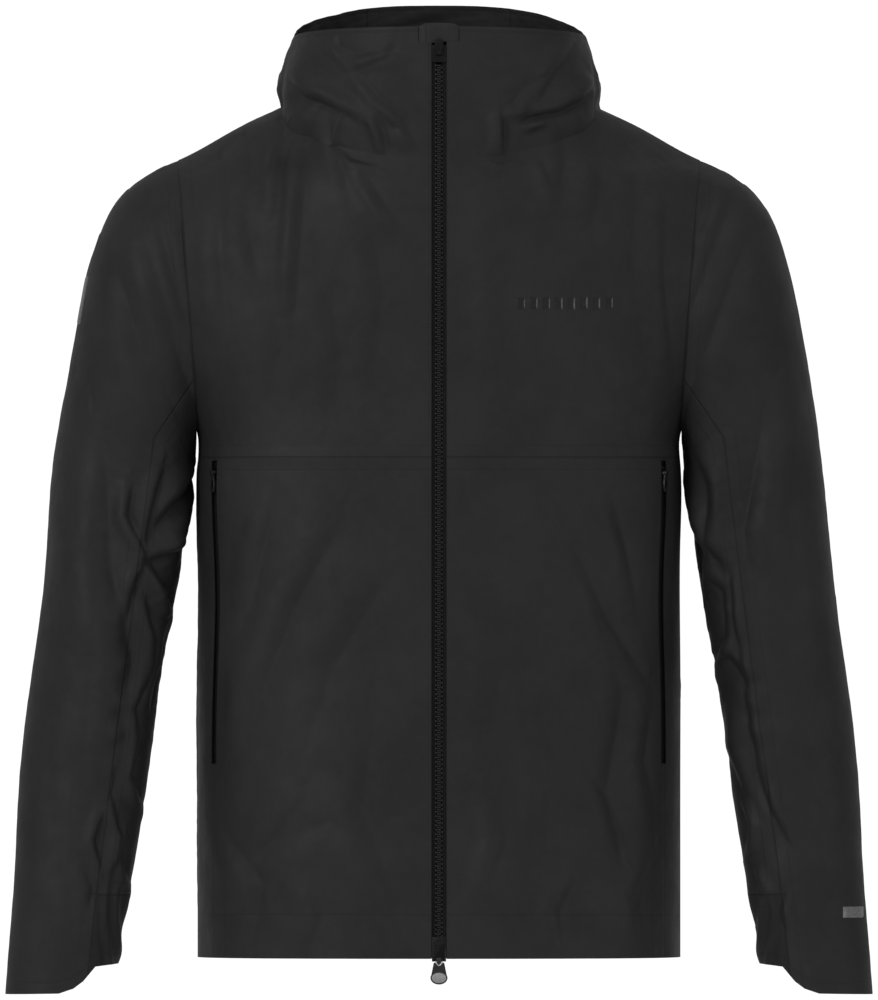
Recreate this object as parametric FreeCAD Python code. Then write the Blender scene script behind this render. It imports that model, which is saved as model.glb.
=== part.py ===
"""Hooded hardshell jacket, zipped up, with its hood down and its sleeves hanging.

Shapes are drawn in tailor's coordinates, in millimetres: x to the wearer's left, y to the back,
z up from the front hem. They are moved at export, so that the frame's origin is the hang loop.
"right" and "left" in a node's name are the wearer's, and the right side is at negative x.
A soft panel is a closed stand-in wall of the true outer shape. Zips and pullers are real pieces.
"""

import FreeCAD, Part

import math
import os

from FreeCAD import Placement, Rotation, Vector

os.makedirs("parts", exist_ok=True)

# ---- fabric and seams -----------------------------------------------------------------------------
WALL = 1.6                    # thickness of a soft panel's wall
GAP = 0.3                     # clearance between soft pieces that lie on one another
YOKE_SEAM = 409.5             # height of the seam between the lower panels and the yokes
SIDE_SEAM = 184.0             # half the distance between the side panels' seams
SHOULDER_Y = 5.0              # the shoulder seam runs along this ridge
ARMHOLE = [(-197, 432), (-214, 653), (-219, 718)]    # armhole seam in the front view (x, z)
HEM_DEPTH = 36.0              # height of the turned hem
HOOD_SEAM = 59.0              # half the width of the hood's centre panel
COLLAR_REAR = -55.0           # where the collar's front panels end
BRIM_DEPTH = 20.0             # height of the hood's stiffened edge
STAND_LOW, STAND_TOP = 706.0, 742.0    # the collar stand inside the hood
HANG_LOOP = Vector(0, 70, 698)     # frame origin: the hang loop's lowest point, where a peg carries it

# neck seam and rim of the hood in the side view (y, z)
NECK_SEAM = [(-150, 634), (-20, 696), (5, 708), (200, 711)]
RIM = [(-200, 768.6), (5, 754.3), (200, 797.2)]

# ---- zips -----------------------------------------------------------------------------------------
ZIP_AT_HEM = 140.0            # the main zip's distance in front of the body axis at the hem
ZIP_LEAN = 0.0462             # how far it leans back per unit of height
ZIP_HALF_GAP = 6.2            # half the distance between the front edges
TAPE_IN, TAPE_OUT = 2.4, 3.2  # the tapes' depth behind the outer face
TAPE_HALF, TAPE_TOP = 16.0, 749.5    # the tapes' outer edges and upper ends
FLAP_HALF = 15.0              # half the width of the flap behind the zip
CHAIN_IN, CHAIN_OUT = 1.5, 4.1
CHAIN_HALF = 3.3              # half the width of the closed chain
CHAIN_LOW, CHAIN_HIGH = 9.5, 736.0
TOOTH_PITCH = 3.7             # spacing of the teeth on one side
TOOTH = 1.6                   # height of one tooth
BEAD = 0.9                    # width of the bead that joins the teeth of one side
PLATE = 1.1                   # thickness of a slider's plates
TOP_SLIDER_Z, TOP_SLIDER_LENGTH = 733.5, 14.0
BOTTOM_SLIDER_Z, BOTTOM_SLIDER_LENGTH = -2.0, 20.0
GARAGE_LOW, GARAGE_HIGH, GARAGE_HALF = 750.8, 765.5, 17.0

AXLE = 0.70                   # radius of the bar that a puller turns on
EYE_BORE = 0.75               # and of the puller's eye on it
EYE = 1.6                     # outer radius of the eye
PIVOT_OUT = 1.9               # distance from a slider's front face to its bar

POCKET_LOW, POCKET_HIGH = 159.0, 407.0    # ends of the pocket zip
POCKET_HALF_SLOT = 4.5
POCKET_TAPE_IN, POCKET_TAPE_OUT = 3.2, 4.0

# ---- outlines -------------------------------------------------------------------------------------
# torso rings: height, half width, back depth, corner exponent; the front lies on the zip's line
TORSO = [
    (-2, 198, 132, 2.6), (60, 198, 129, 2.6), (150, 198, 122, 2.6), (250, 198, 119, 2.6),
    (340, 198, 124, 2.6), (405, 198, 130, 2.6), (432, 199, 133, 2.6), (446, 206, 134, 2.5),
    (460, 214, 135, 2.4), (490, 233, 136, 2.35), (520, 252, 137, 2.3), (560, 272, 136, 2.1),
    (600, 277, 132, 1.85), (626, 262, 126, 1.67), (641, 243, 119, 1.55), (653, 215, 113, 1.47),
    (668, 186, 104, 1.45), (683, 159, 96, 1.5), (698, 127, 88, 1.65), (714, 98, 81, 1.9),
]
# collar stand at the back of the neck
NECK = [
    (640, 108, 74, 2.2), (670, 112, 76, 2.2), (700, 110, 77, 2.2), (730, 103, 79, 2.2), (775, 98, 82, 2.2),
]
# collar and fallen hood, one cowl around the neck and down the back
COWL = [
    (586, 44, 126, 2.0), (596, 74, 146, 2.0), (612, 92, 158, 2.1), (636, 104, 166, 2.2),
    (653, 118, 168, 2.2), (672, 126, 168, 2.2), (690, 131, 166, 2.2), (705, 130.5, 161, 2.2),
    (722, 127.5, 154, 2.2), (740, 123, 146, 2.2), (762, 118, 138, 2.2), (800, 112, 130, 2.2),
]
# right sleeve, each ring tilted from its point on the inner line to its point on the outer line:
# inner x, inner z, outer x, outer z, y of its middle, half depth
SLEEVE = [
    (-265, -34, -356, -34, -51, 41), (-257, 22, -352, 22, -45, 44), (-250.5, 66, -348, 66, -38, 49),
    (-238, 148, -341.5, 148, -26, 55), (-227, 221, -334, 225, -15, 60), (-215.5, 285, -326, 300, -6, 65),
    (-208, 335, -318, 370, 0, 69), (-203.5, 372, -310, 435, 4, 73), (-201, 398, -300, 500, 6, 77),
    (-199.5, 415, -285, 572, 7, 81), (-197.5, 425, -256, 628, 8, 84), (-194, 432, -202, 654, 8, 86),
]
UNDERARM_SEAM = [(-180, 475), (-199, 475), (-233, 425), (-245.6, 325), (-281, 43), (-292, -60)]
CUFF_EDGE = [(-240, -4), (-256, -4), (-281, -7), (-291, -19), (-299, -25), (-311, -29), (-370, -30)]
ELASTIC_TOP = 52.0            # height where the gathered inner cuff ends
POCKET_BAG = [(-183, 404), (-170, 404), (-122, 300), (-122, 141), (-176, 141), (-183, 104)]

RING_POINTS = 36
FAR = 300.0                   # reach of a cutting block beyond the body

pieces = {}


# ---- drawing helpers ------------------------------------------------------------------------------
def zip_front(z):
    """Distance of the main zip in front of the body axis at a height."""
    return ZIP_AT_HEM - ZIP_LEAN * z


def oval(half_x, front, back, power):
    """Corner points of a rounded box outline with its own front and back depth."""
    points = []
    for i in range(RING_POINTS):
        turn = 2 * math.pi * (i + 0.5) / RING_POINTS
        c, s = math.cos(turn), math.sin(turn)
        x = half_x * math.copysign(abs(c) ** (2 / power), c)
        y = math.copysign(abs(s) ** (2 / power), s) * (back if s > 0 else front)
        points.append((x, y))
    return points


def curve_through(points, stations):
    curve = Part.BSplineCurve()
    curve.interpolate(Points=points, Parameters=stations)
    return curve


def stations_along(rows):
    """Parameter of each row, from the mean distance between the rows."""
    stations = [0.0]
    for row, next_row in zip(rows, rows[1:]):
        steps = [(b - a).Length for a, b in zip(row, next_row)]
        stations.append(stations[-1] + sum(steps) / len(steps))
    return stations


def skinned(rows):
    """A closed solid whose skin passes through rows of points, with flat ends."""
    rows = [row + row[:1] for row in rows]
    along = stations_along(rows)
    around = [float(i) for i in range(len(rows[0]))]
    columns = [curve_through(list(column), along) for column in zip(*rows)]
    nets = zip(*[column.getPoles() for column in columns])
    rings = [curve_through(list(net), around) for net in nets]
    skin = Part.BSplineSurface()
    skin.buildFromPolesMultsKnots(
        [ring.getPoles() for ring in rings],
        columns[0].getMultiplicities(), rings[0].getMultiplicities(),
        columns[0].getKnots(), rings[0].getKnots(),
        False, False, columns[0].Degree, rings[0].Degree)
    face = skin.toShape()
    ends = [Part.Face(Part.Wire([edge])) for edge in face.Edges if edge.isClosed()]
    shell = Part.Shell([face] + ends)
    shell.sewShape()
    return Part.makeSolid(shell)


def around_body(table, inset=0.0):
    """A solid around the body axis from a table of rings, its skin moved in by inset."""
    rows = []
    for z, half_x, back, power in table:
        ring = oval(half_x - inset, zip_front(z) - inset, back - inset, power)
        rows.append([Vector(x, y, z) for x, y in ring])
    return skinned(rows)


def sleeve_solid(inset=0.0):
    """The right sleeve, from tilted rings between its inner and outer lines."""
    rows = []
    for inner_x, inner_z, outer_x, outer_z, middle, depth in SLEEVE:
        across = Vector(outer_x - inner_x, 0, outer_z - inner_z)
        centre = Vector((inner_x + outer_x) / 2, middle, (inner_z + outer_z) / 2)
        ring = oval(across.Length / 2 - inset, depth - inset, depth - inset, 2.2)
        across.normalize()
        rows.append([centre + across * x + Vector(0, y, 0) for x, y in ring])
    return skinned(rows)


def block(x0, x1, y0, y1, z0, z1):
    return Part.makeBox(x1 - x0, y1 - y0, z1 - z0, Vector(x0, y0, z0))


def extruded(points, along):
    return Part.Face(Part.makePolygon(points + points[:1])).extrude(along)


def front_view(outline, y0=-300, y1=300):
    """A prism through the jacket from an outline in the front view (x, z)."""
    return extruded([Vector(x, y0, z) for x, z in outline], Vector(0, y1 - y0, 0))


def side_view(outline, x0=-300, x1=300):
    """A prism across the jacket from an outline in the side view (y, z)."""
    return extruded([Vector(x0, y, z) for y, z in outline], Vector(x1 - x0, 0, 0))


def mirrored(shape):
    return shape.mirror(Vector(0, 0, 0), Vector(1, 0, 0))


def both_sides(name, right):
    pieces[name + "_right"] = right
    pieces[name + "_left"] = mirrored(right)


def largest(shape):
    """The main solid of a cut, without the crumbs."""
    return max(shape.Solids, key=lambda solid: solid.Volume)


# ---- places on the garment ------------------------------------------------------------------------
def main_zip_place():
    """Its z runs up the zip and its y goes in through the front."""
    lean = math.degrees(math.atan(ZIP_LEAN))
    return Placement(Vector(0, -ZIP_AT_HEM, 0), Rotation(Vector(1, 0, 0), -lean))


def side_point(z):
    """The right side seam's place on the torso at a height below the armpit."""
    _, half_x, _, power = TORSO[0]
    depth = (1 - (SIDE_SEAM / half_x) ** power) ** (1 / power)
    return Vector(-SIDE_SEAM, -zip_front(z) * depth, z)


def pocket_zip_place():
    """Its z runs up the right pocket zip and its y goes in through the torso's skin."""
    low, high = side_point(POCKET_LOW), side_point(POCKET_HIGH)
    _, half_x, _, power = TORSO[0]
    slope_x = (SIDE_SEAM / half_x) ** (power - 1) / half_x
    slope_y = (-low.y / zip_front(low.z)) ** (power - 1) / zip_front(low.z)
    inward = Vector(slope_x, slope_y, 0)
    return Placement(low, Rotation(Vector(), inward, high - low, "ZYX"))


MAIN_ZIP = main_zip_place()
POCKET_ZIP = pocket_zip_place()
POCKET_RUN = (side_point(POCKET_HIGH) - side_point(POCKET_LOW)).Length


def placed(shape, place):
    moved = shape.copy()
    moved.Placement = place.multiply(moved.Placement)
    return moved


# ---- torso ----------------------------------------------------------------------------------------
def torso_region():
    """Inside the armhole seams and above the hem, in the front view."""
    right = [(-260, 0), (-260, 420)] + ARMHOLE
    left = [(-x, z) for x, z in reversed(right)]
    return front_view(right + left)


def above_neck_seam():
    return side_view(NECK_SEAM + [(NECK_SEAM[-1][0], 850), (NECK_SEAM[0][0], 850)])


def pocket_slot():
    slot = block(-POCKET_HALF_SLOT, POCKET_HALF_SLOT, -20, 20, 0, POCKET_RUN)
    return placed(slot, POCKET_ZIP)


def make_torso(body):
    shell = body.cut(around_body(TORSO, WALL)).common(torso_region())
    shell = shell.cut(above_neck_seam())
    lower = shell.common(block(-FAR, FAR, -FAR, FAR, -10, YOKE_SEAM))
    upper = shell.common(block(-FAR, FAR, -FAR, FAR, YOKE_SEAM, 800))

    front = block(-SIDE_SEAM, -ZIP_HALF_GAP, -FAR, 0, -10, 500)
    side = block(-FAR, -SIDE_SEAM, -FAR, FAR, -10, 500)
    back = block(-SIDE_SEAM, SIDE_SEAM, 0, FAR, -10, 500)
    both_sides("lower_front", largest(lower.common(front).cut(pocket_slot())))
    both_sides("side_panel", largest(lower.common(side).cut(pocket_slot())))
    pieces["back_panel"] = largest(lower.common(back))

    yoke = block(-FAR, -ZIP_HALF_GAP, -FAR, SHOULDER_Y, FAR, 800)
    tape_room = placed(block(-TAPE_HALF - 0.5, TAPE_HALF + 0.5, TAPE_IN - GAP, 30, YOKE_SEAM - 10, TAPE_TOP), MAIN_ZIP)
    both_sides("front_yoke", largest(upper.common(yoke).cut(tape_room)))
    pieces["back_yoke"] = largest(upper.common(block(-FAR, FAR, SHOULDER_Y, FAR, FAR, 800)))


def make_hem_facing():
    band = around_body(TORSO, WALL + GAP).cut(around_body(TORSO, WALL + GAP + 0.8))
    band = band.common(block(-FAR, FAR, -FAR, FAR, 1, HEM_DEPTH))
    pieces["hem_facing"] = largest(band.cut(block(-24, 24, -FAR, 0, -10, 50)))


# ---- sleeves --------------------------------------------------------------------------------------
def make_sleeves():
    tube = sleeve_solid().cut(sleeve_solid(WALL))
    region = front_view([(-400, -100), (-199, -100), (-199, 432)] + ARMHOLE + [(-400, 718)])
    tube = tube.common(region).cut(front_view(CUFF_EDGE + [(-370, -100), (-240, -100)]))
    inner_side = front_view(UNDERARM_SEAM + [(-180, -60)])
    under = tube.common(inner_side)
    cuff = block(-FAR, -200, -200, 200, -60, ELASTIC_TOP)
    both_sides("sleeve_upper", largest(tube.cut(inner_side)))
    both_sides("sleeve_under", largest(under.cut(cuff)))
    both_sides("cuff_elastic", largest(under.common(cuff)))


def make_sleeve_trim():
    """A reflective patch high on the right sleeve and a blank tab on the left cuff."""
    skin = sleeve_solid(-0.5).cut(sleeve_solid())
    pieces["reflective_patch"] = largest(skin.common(block(-330, -270, -22, 26, 519, 558)))
    tab = skin.common(block(-351, -331.5, -100, -40, 32.5, 42.5))
    pieces["cuff_tab"] = mirrored(largest(tab))


# ---- collar and hood ------------------------------------------------------------------------------
def rim_region(drop=0.0):
    """Everything above the rim of the hood and collar, or above a line below it."""
    edge = [(y, z - drop) for y, z in RIM]
    return side_view(edge + [(RIM[-1][0], 900), (RIM[0][0], 900)])


def make_hood():
    shell = around_body(COWL).cut(around_body(COWL, WALL)).cut(rim_region())
    (y0, z0), (y1, z1) = NECK_SEAM[:2]
    shell = shell.cut(side_view([(y0, z0), (y1, z1), (y1, 500), (y0, 500)]))
    grown = around_body(TORSO, -GAP).cut(above_neck_seam())
    shell = shell.cut(grown)
    shell = shell.cut(block(-ZIP_HALF_GAP, ZIP_HALF_GAP, -FAR, 0, 500, 900))
    shell = shell.cut(garage_block())

    collar = shell.common(block(-FAR, 0, -FAR, COLLAR_REAR, 500, 900))
    rest = shell.common(block(-FAR, FAR, COLLAR_REAR, FAR, 500, 900))
    brim_region = rim_region(BRIM_DEPTH).common(block(-FAR, FAR, 40, FAR, 500, 900))
    both_sides("collar_front", largest(collar))
    pieces["hood_brim"] = largest(rest.common(brim_region))
    rest = rest.cut(brim_region)
    both_sides("hood_side", largest(rest.common(block(-FAR, -HOOD_SEAM, -FAR, FAR, 500, 900))))
    pieces["hood_centre"] = largest(rest.common(block(-HOOD_SEAM, HOOD_SEAM, 0, FAR, 500, 900)))

    stand = around_body(NECK, GAP).cut(around_body(NECK, GAP + WALL))
    stand = stand.common(block(-FAR, FAR, SHOULDER_Y, FAR, STAND_LOW, STAND_TOP))
    pieces["collar_stand"] = largest(stand.cut(pieces["back_yoke"]))


def make_hang_loop():
    ends = Vector(26, 73, 712)
    start_point = Vector(-ends.x, ends.y, ends.z)
    arc = Part.Arc(start_point, HANG_LOOP, ends).toShape()
    start = Part.Circle(start_point, arc.tangentAt(arc.FirstParameter), 1.6)
    section = Part.Wire([start.toShape()])
    loop = Part.Wire([arc]).makePipeShell([section], True, True)
    pieces["hang_loop"] = largest(loop.cut(pieces["back_yoke"]).cut(pieces["collar_stand"]))


def make_neck_label():
    sheet = around_body(TORSO, WALL + GAP).cut(around_body(TORSO, WALL + GAP + 0.6))
    pieces["neck_label"] = largest(sheet.common(block(-22, 22, 0, FAR, 640, 676)))


def make_chest_mark():
    """A row of short reflective dashes on the left chest, on the yoke's outer face."""
    skin = around_body(TORSO, -0.4).cut(around_body(TORSO))
    low, high, start, stop, count = 530.0, 541.0, 64.0, 146.0, 8
    pitch = (stop - start) / count
    dashes = []
    for i in range(count):
        x = start + i * pitch
        dashes.append(largest(skin.common(block(x, x + 0.6 * pitch, -FAR, 0, low, high))))
    pieces["chest_mark"] = Part.Compound(dashes)


# ---- zips -----------------------------------------------------------------------------------------
def comb(low, high):
    """One side of the moulded chain: a bead on the tape's edge with teeth across the middle."""
    reach = -0.55 * CHAIN_HALF
    bead = CHAIN_HALF - BEAD
    outline = [(CHAIN_HALF, low), (bead, low)]
    z = low + 0.5 * TOOTH
    while z + TOOTH < high:
        outline += [(bead, z), (reach, z + 0.25), (reach, z + TOOTH - 0.25), (bead, z + TOOTH)]
        z += TOOTH_PITCH
    outline += [(bead, high), (CHAIN_HALF, high)]
    return front_view(outline, CHAIN_IN, CHAIN_OUT)


def slider(half_width, length, front, back, tape_in, tape_out, post_z):
    """A zip slider: front and back plates, side flanges that leave the tape room, and a post."""
    body = block(-half_width, half_width, front, front + PLATE, 0, length)
    body = body.fuse(block(-half_width, half_width, back - PLATE, back, 0, length))
    room = 0.3
    for side in (-1, 1):
        x0, x1 = sorted((side * half_width, side * (half_width - 1.2)))
        body = body.fuse(block(x0, x1, front + PLATE, tape_in - room, 0, length))
        body = body.fuse(block(x0, x1, tape_out + room, back - PLATE, 0, length))
    post = block(-0.8, 0.8, front + PLATE, back - PLATE, post_z, post_z + 2)
    return body.fuse(post)


def crown(front, pivot_z):
    """Two lugs on a slider's front plate and the bar between them."""
    y = front - PIVOT_OUT
    bar = Part.makeCylinder(AXLE, 6.4, Vector(-3.2, y, pivot_z), Vector(1, 0, 0))
    for x in (-3.2, 2.2):
        bar = bar.fuse(block(x, x + 1, y - 0.9, front + 0.2, pivot_z - 1.3, pivot_z + 1.3))
    return bar


def eye(reach):
    """The end of a puller that turns on a slider's bar, hanging from the origin."""
    ring = Part.makeCylinder(EYE, 4, Vector(-2, 0, 0), Vector(1, 0, 0))
    ring = ring.fuse(block(-2, 2, -0.8, 0.8, -reach, 0))
    return ring.cut(Part.makeCylinder(EYE_BORE, 6, Vector(-3, 0, 0), Vector(1, 0, 0)))


def ellipse_prism(half_x, half_z, centre_z, y0, y1):
    major, minor = max(half_x, half_z), min(half_x, half_z)
    curve = Part.Ellipse(Vector(0, 0, 0), major, minor)
    disc = Part.Face(Part.Wire([curve.toShape()])).extrude(Vector(0, 0, y1 - y0))
    disc.rotate(Vector(), Vector(1, 0, 0), -90)
    if half_z > half_x:
        disc.rotate(Vector(), Vector(0, 1, 0), 90)
    disc.translate(Vector(0, y0, centre_z))
    return disc


def wedge_puller(neck, head_x, head_z, length):
    """A moulded puller that widens to an oval head, hanging from the origin."""
    centre = head_z - length
    sides = [(-neck, -2.6), (neck, -2.6), (0.93 * head_x, centre + 1.5), (-0.93 * head_x, centre + 1.5)]
    body = eye(3).fuse(front_view(sides, -0.8, 0.8))
    return body.fuse(ellipse_prism(head_x, head_z, centre, -0.8, 0.8)), centre


def make_main_zip():
    tape = block(CHAIN_HALF, TAPE_HALF, TAPE_IN, TAPE_OUT, 0.5, TAPE_TOP)
    pieces["zip_tape_left"] = placed(tape, MAIN_ZIP)
    pieces["zip_tape_right"] = placed(mirrored(tape), MAIN_ZIP)
    pieces["zip_teeth_left"] = placed(comb(CHAIN_LOW, CHAIN_HIGH), MAIN_ZIP)
    shifted = mirrored(comb(CHAIN_LOW, CHAIN_HIGH - 0.5 * TOOTH_PITCH))
    shifted.translate(Vector(0, 0, 0.5 * TOOTH_PITCH))
    pieces["zip_teeth_right"] = placed(shifted, MAIN_ZIP)
    pin = block(0.4, CHAIN_HALF, 1.7, 3.9, 2.4, CHAIN_LOW)
    pieces["zip_pin_left"] = placed(pin, MAIN_ZIP)
    pieces["zip_pin_right"] = placed(mirrored(pin), MAIN_ZIP)
    pieces["storm_flap"] = placed(block(-FLAP_HALF, FLAP_HALF, 6.4, 7.6, 2, TAPE_TOP), MAIN_ZIP)


def make_main_sliders():
    front, back, half = 0.1, 5.5, 5.8
    top = slider(half, TOP_SLIDER_LENGTH, front, back, TAPE_IN, TAPE_OUT, TOP_SLIDER_LENGTH - 2)
    top = top.fuse(crown(front, 7)).removeSplitter()
    top.translate(Vector(0, 0, TOP_SLIDER_Z))
    pieces["top_slider"] = placed(top, MAIN_ZIP)
    puller, _ = wedge_puller(2.8, 3.6, 3.0, 12)
    puller.rotate(Vector(), Vector(1, 0, 0), 180)
    puller.translate(Vector(0, front - PIVOT_OUT, TOP_SLIDER_Z + 7))
    pieces["top_puller"] = placed(puller.removeSplitter(), MAIN_ZIP)

    pivot = 1.5
    bottom = slider(half, BOTTOM_SLIDER_LENGTH, front, back, TAPE_IN, TAPE_OUT, 0)
    bottom = bottom.fuse(crown(front, pivot)).removeSplitter()
    bottom.translate(Vector(0, 0, BOTTOM_SLIDER_Z))
    pieces["bottom_slider"] = placed(bottom, MAIN_ZIP)
    puller, centre = wedge_puller(4.3, 7.0, 5.4, 20.5)
    inlay = ellipse_prism(5.9, 4.2, centre, -0.8, -0.3)
    at = Vector(0, front - PIVOT_OUT, BOTTOM_SLIDER_Z + pivot)
    puller = puller.cut(inlay).removeSplitter()
    puller.translate(at)
    inlay.translate(at)
    pieces["bottom_puller"] = placed(puller, MAIN_ZIP)
    pieces["puller_inlay"] = placed(inlay, MAIN_ZIP)


def garage_block():
    """The soft garage over the zip's top end, wrapped over the collar's edge."""
    shape = block(-GARAGE_HALF, GARAGE_HALF, -1.0, 4.6, GARAGE_LOW, GARAGE_HIGH)
    long_edges = [edge for edge in shape.Edges if edge.BoundBox.XLength > GARAGE_HALF]
    return placed(shape.makeFillet(1.2, long_edges), MAIN_ZIP)


def loop_puller():
    """A small open loop that hangs from a pocket slider."""
    outer = ellipse_prism(3.0, 6.6, -9.6, -0.8, 0.8)
    hole = ellipse_prism(1.6, 4.6, -9.9, -2, 2)
    return eye(4.5).fuse(outer).cut(hole)


def make_pocket_zip():
    run, front, half = POCKET_RUN, 0.4, 3.9
    tape = block(0.9, 8.5, POCKET_TAPE_IN, POCKET_TAPE_OUT, -4, run + 4)
    strips = tape.fuse(mirrored(tape))
    for end in (-4, run + 1):
        strips = strips.fuse(block(-0.9, 0.9, POCKET_TAPE_IN, POCKET_TAPE_OUT, end, end + 3))
    both_sides("pocket_tape", placed(strips.removeSplitter(), POCKET_ZIP))
    length = 9.0
    place = Vector(0, 0, run - length - 5)
    coil = block(-0.9, 0.9, 2.6, 4.6, -1, place.z + length - 2.4)
    both_sides("pocket_coil", placed(coil, POCKET_ZIP))

    body = slider(half, length, front, 6.2, POCKET_TAPE_IN, POCKET_TAPE_OUT, length - 2)
    body = body.fuse(crown(front, 4)).removeSplitter()
    body.translate(place)
    both_sides("pocket_slider", placed(body, POCKET_ZIP))
    puller = loop_puller().removeSplitter()
    puller.translate(place + Vector(0, front - PIVOT_OUT, 4))
    both_sides("pocket_puller", placed(puller, POCKET_ZIP))


def make_pocket_bag():
    sheet = around_body(TORSO, 8).cut(around_body(TORSO, 9.5))
    both_sides("pocket_bag", largest(sheet.common(front_view(POCKET_BAG, -FAR, 0))))


# ---- the jacket -----------------------------------------------------------------------------------
def make_all():
    body = around_body(TORSO)
    make_torso(body)
    make_hem_facing()
    make_sleeves()
    make_sleeve_trim()
    make_hood()
    pieces["zip_garage"] = garage_block()
    make_hang_loop()
    make_neck_label()
    make_chest_mark()
    make_main_zip()
    make_main_sliders()
    make_pocket_zip()
    make_pocket_bag()


def export_all():
    for name, shape in sorted(pieces.items()):
        moved = shape.copy()
        moved.translate(HANG_LOOP * -1)
        print(f"{name:18s} solids {len(moved.Solids)} volume {moved.Volume / 1000:9.3f} cm3")
        moved.exportStep(f"parts/{name}.step")


make_all()
export_all()
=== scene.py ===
"""The hardshell jacket's looks: cloth panels with folds, zips, trims, materials, lights and camera."""

import math

import bmesh
import bpy
import numpy as np
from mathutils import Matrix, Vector
from mathutils.bvhtree import BVHTree


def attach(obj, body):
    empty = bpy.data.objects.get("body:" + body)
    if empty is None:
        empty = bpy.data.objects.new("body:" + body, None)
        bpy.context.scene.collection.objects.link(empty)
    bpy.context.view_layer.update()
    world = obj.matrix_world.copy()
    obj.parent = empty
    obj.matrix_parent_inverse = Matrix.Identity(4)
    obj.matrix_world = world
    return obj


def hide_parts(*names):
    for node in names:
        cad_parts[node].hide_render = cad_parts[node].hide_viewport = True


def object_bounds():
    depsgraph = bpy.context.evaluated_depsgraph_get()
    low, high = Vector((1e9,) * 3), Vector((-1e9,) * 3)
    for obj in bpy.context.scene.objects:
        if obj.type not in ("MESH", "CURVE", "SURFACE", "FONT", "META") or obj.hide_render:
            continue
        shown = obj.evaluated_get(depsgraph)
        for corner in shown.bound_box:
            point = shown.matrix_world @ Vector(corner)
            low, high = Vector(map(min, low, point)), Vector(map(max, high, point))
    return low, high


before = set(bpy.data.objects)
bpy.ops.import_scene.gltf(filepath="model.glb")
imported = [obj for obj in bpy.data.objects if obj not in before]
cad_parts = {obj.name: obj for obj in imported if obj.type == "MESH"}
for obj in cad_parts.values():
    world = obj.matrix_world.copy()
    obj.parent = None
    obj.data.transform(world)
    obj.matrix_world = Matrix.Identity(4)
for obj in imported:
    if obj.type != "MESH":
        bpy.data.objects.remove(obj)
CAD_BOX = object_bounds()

# Shapes are worked out in tailor's coordinates, in millimetres, as the part is drawn:
# x to the wearer's left, y to the back, z up from the front hem.
HANG_LOOP = np.array([0.0, 70.0, 698.0])
ZIP_AT_HEM, ZIP_LEAN = 140.0, 0.0462
ZIP_HALF_GAP, YOKE_SEAM, SIDE_SEAM, SHOULDER_Y = 6.2, 409.5, 184.0, 5.0
HOOD_SEAM, COLLAR_REAR, HEM_DEPTH = 59.0, -55.0, 36.0
POCKET_LOW, POCKET_HALF_SLOT = 159.0, 4.2
BRIM_DEPTH, BRIM_FRONT = 20.0, 40.0       # the stiffened edge of the hood
TAPE_TOP, GARAGE_LOW, GARAGE_HALF = 749.5, 749.7, 17.0
CLOTH, THIN_CLOTH = 0.7, 0.5              # thickness
AWAY = 500                                # added to a distance where a seam isn't
STITCH_LENGTH = 3.2
MM = 1000                                 # millimetres in a metre
# how finely cloth is divided
ROWS, COLUMNS, SLEEVE_ROWS, SLEEVE_COLUMNS, COWL_ROWS, COWL_COLUMNS = 380, 600, 360, 240, 170, 440

# rings round the body: height, half width, depth behind (the front follows the zip), squareness
TORSO = [
    (-2, 198, 132, 2.6), (60, 198, 129, 2.6), (150, 198, 122, 2.6), (250, 198, 119, 2.6),
    (340, 198, 124, 2.6), (405, 198, 130, 2.6), (432, 199, 133, 2.6), (446, 206, 134, 2.5),
    (460, 214, 135, 2.4), (490, 233, 136, 2.35), (520, 252, 137, 2.3), (560, 272, 136, 2.1),
    (600, 277, 132, 1.85), (626, 262, 126, 1.67),
    (641, 243, 119, 1.55), (653, 215, 113, 1.47), (668, 186, 104, 1.45), (683, 159, 96, 1.5),
    (698, 127, 88, 1.65), (714, 98, 81, 1.9),
]
NECK = [(640, 108, 74, 2.2), (670, 112, 76, 2.2), (700, 110, 77, 2.2), (730, 103, 79, 2.2),
        (775, 98, 82, 2.2)]
COWL = [
    (586, 44, 126, 2.0), (596, 74, 146, 2.0), (612, 92, 158, 2.1), (636, 104, 166, 2.2),
    (653, 118, 168, 2.2), (672, 126, 168, 2.2), (690, 131, 166, 2.2), (705, 130.5, 161, 2.2),
    (722, 127.5, 154, 2.2), (740, 123, 146, 2.2), (762, 118, 138, 2.2), (800, 112, 130, 2.2),
]
# rings along the right sleeve: inner x and z, outer x and z, middle y, half depth
SLEEVE = [
    (-265, -34, -356, -34, -51, 41), (-257, 22, -352, 22, -45, 44), (-250.5, 66, -348, 66, -38, 49),
    (-238, 148, -341.5, 148, -26, 55), (-227, 221, -334, 225, -15, 60), (-215.5, 285, -326, 300, -6, 65),
    (-208, 335, -318, 370, 0, 69), (-203.5, 372, -310, 435, 4, 73), (-201, 398, -300, 500, 6, 77),
    (-199.5, 415, -285, 572, 7, 81), (-197.5, 425, -256, 628, 8, 84), (-194, 432, -202, 654, 8, 86),
]
# seams and edges: the armhole, underarm and cuff in the front view, the neck and rim in the side view
ARMHOLE = [(-197, 432), (-214, 653)]
NECK_SEAM = [(-150, 634), (-20, 696), (5, 708), (200, 711)]
RIM = [(-200, 768.6), (5, 754.3), (200, 797.2)]
UNDERARM_SEAM = [(-199, 475), (-233, 425), (-245.6, 325), (-281, 43), (-292, -60)]
CUFF_EDGE = [(-240, -4), (-256, -4), (-281, -7), (-291, -19), (-299, -25), (-311, -29), (-370, -30)]
ELASTIC_TOP = 52.0


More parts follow.
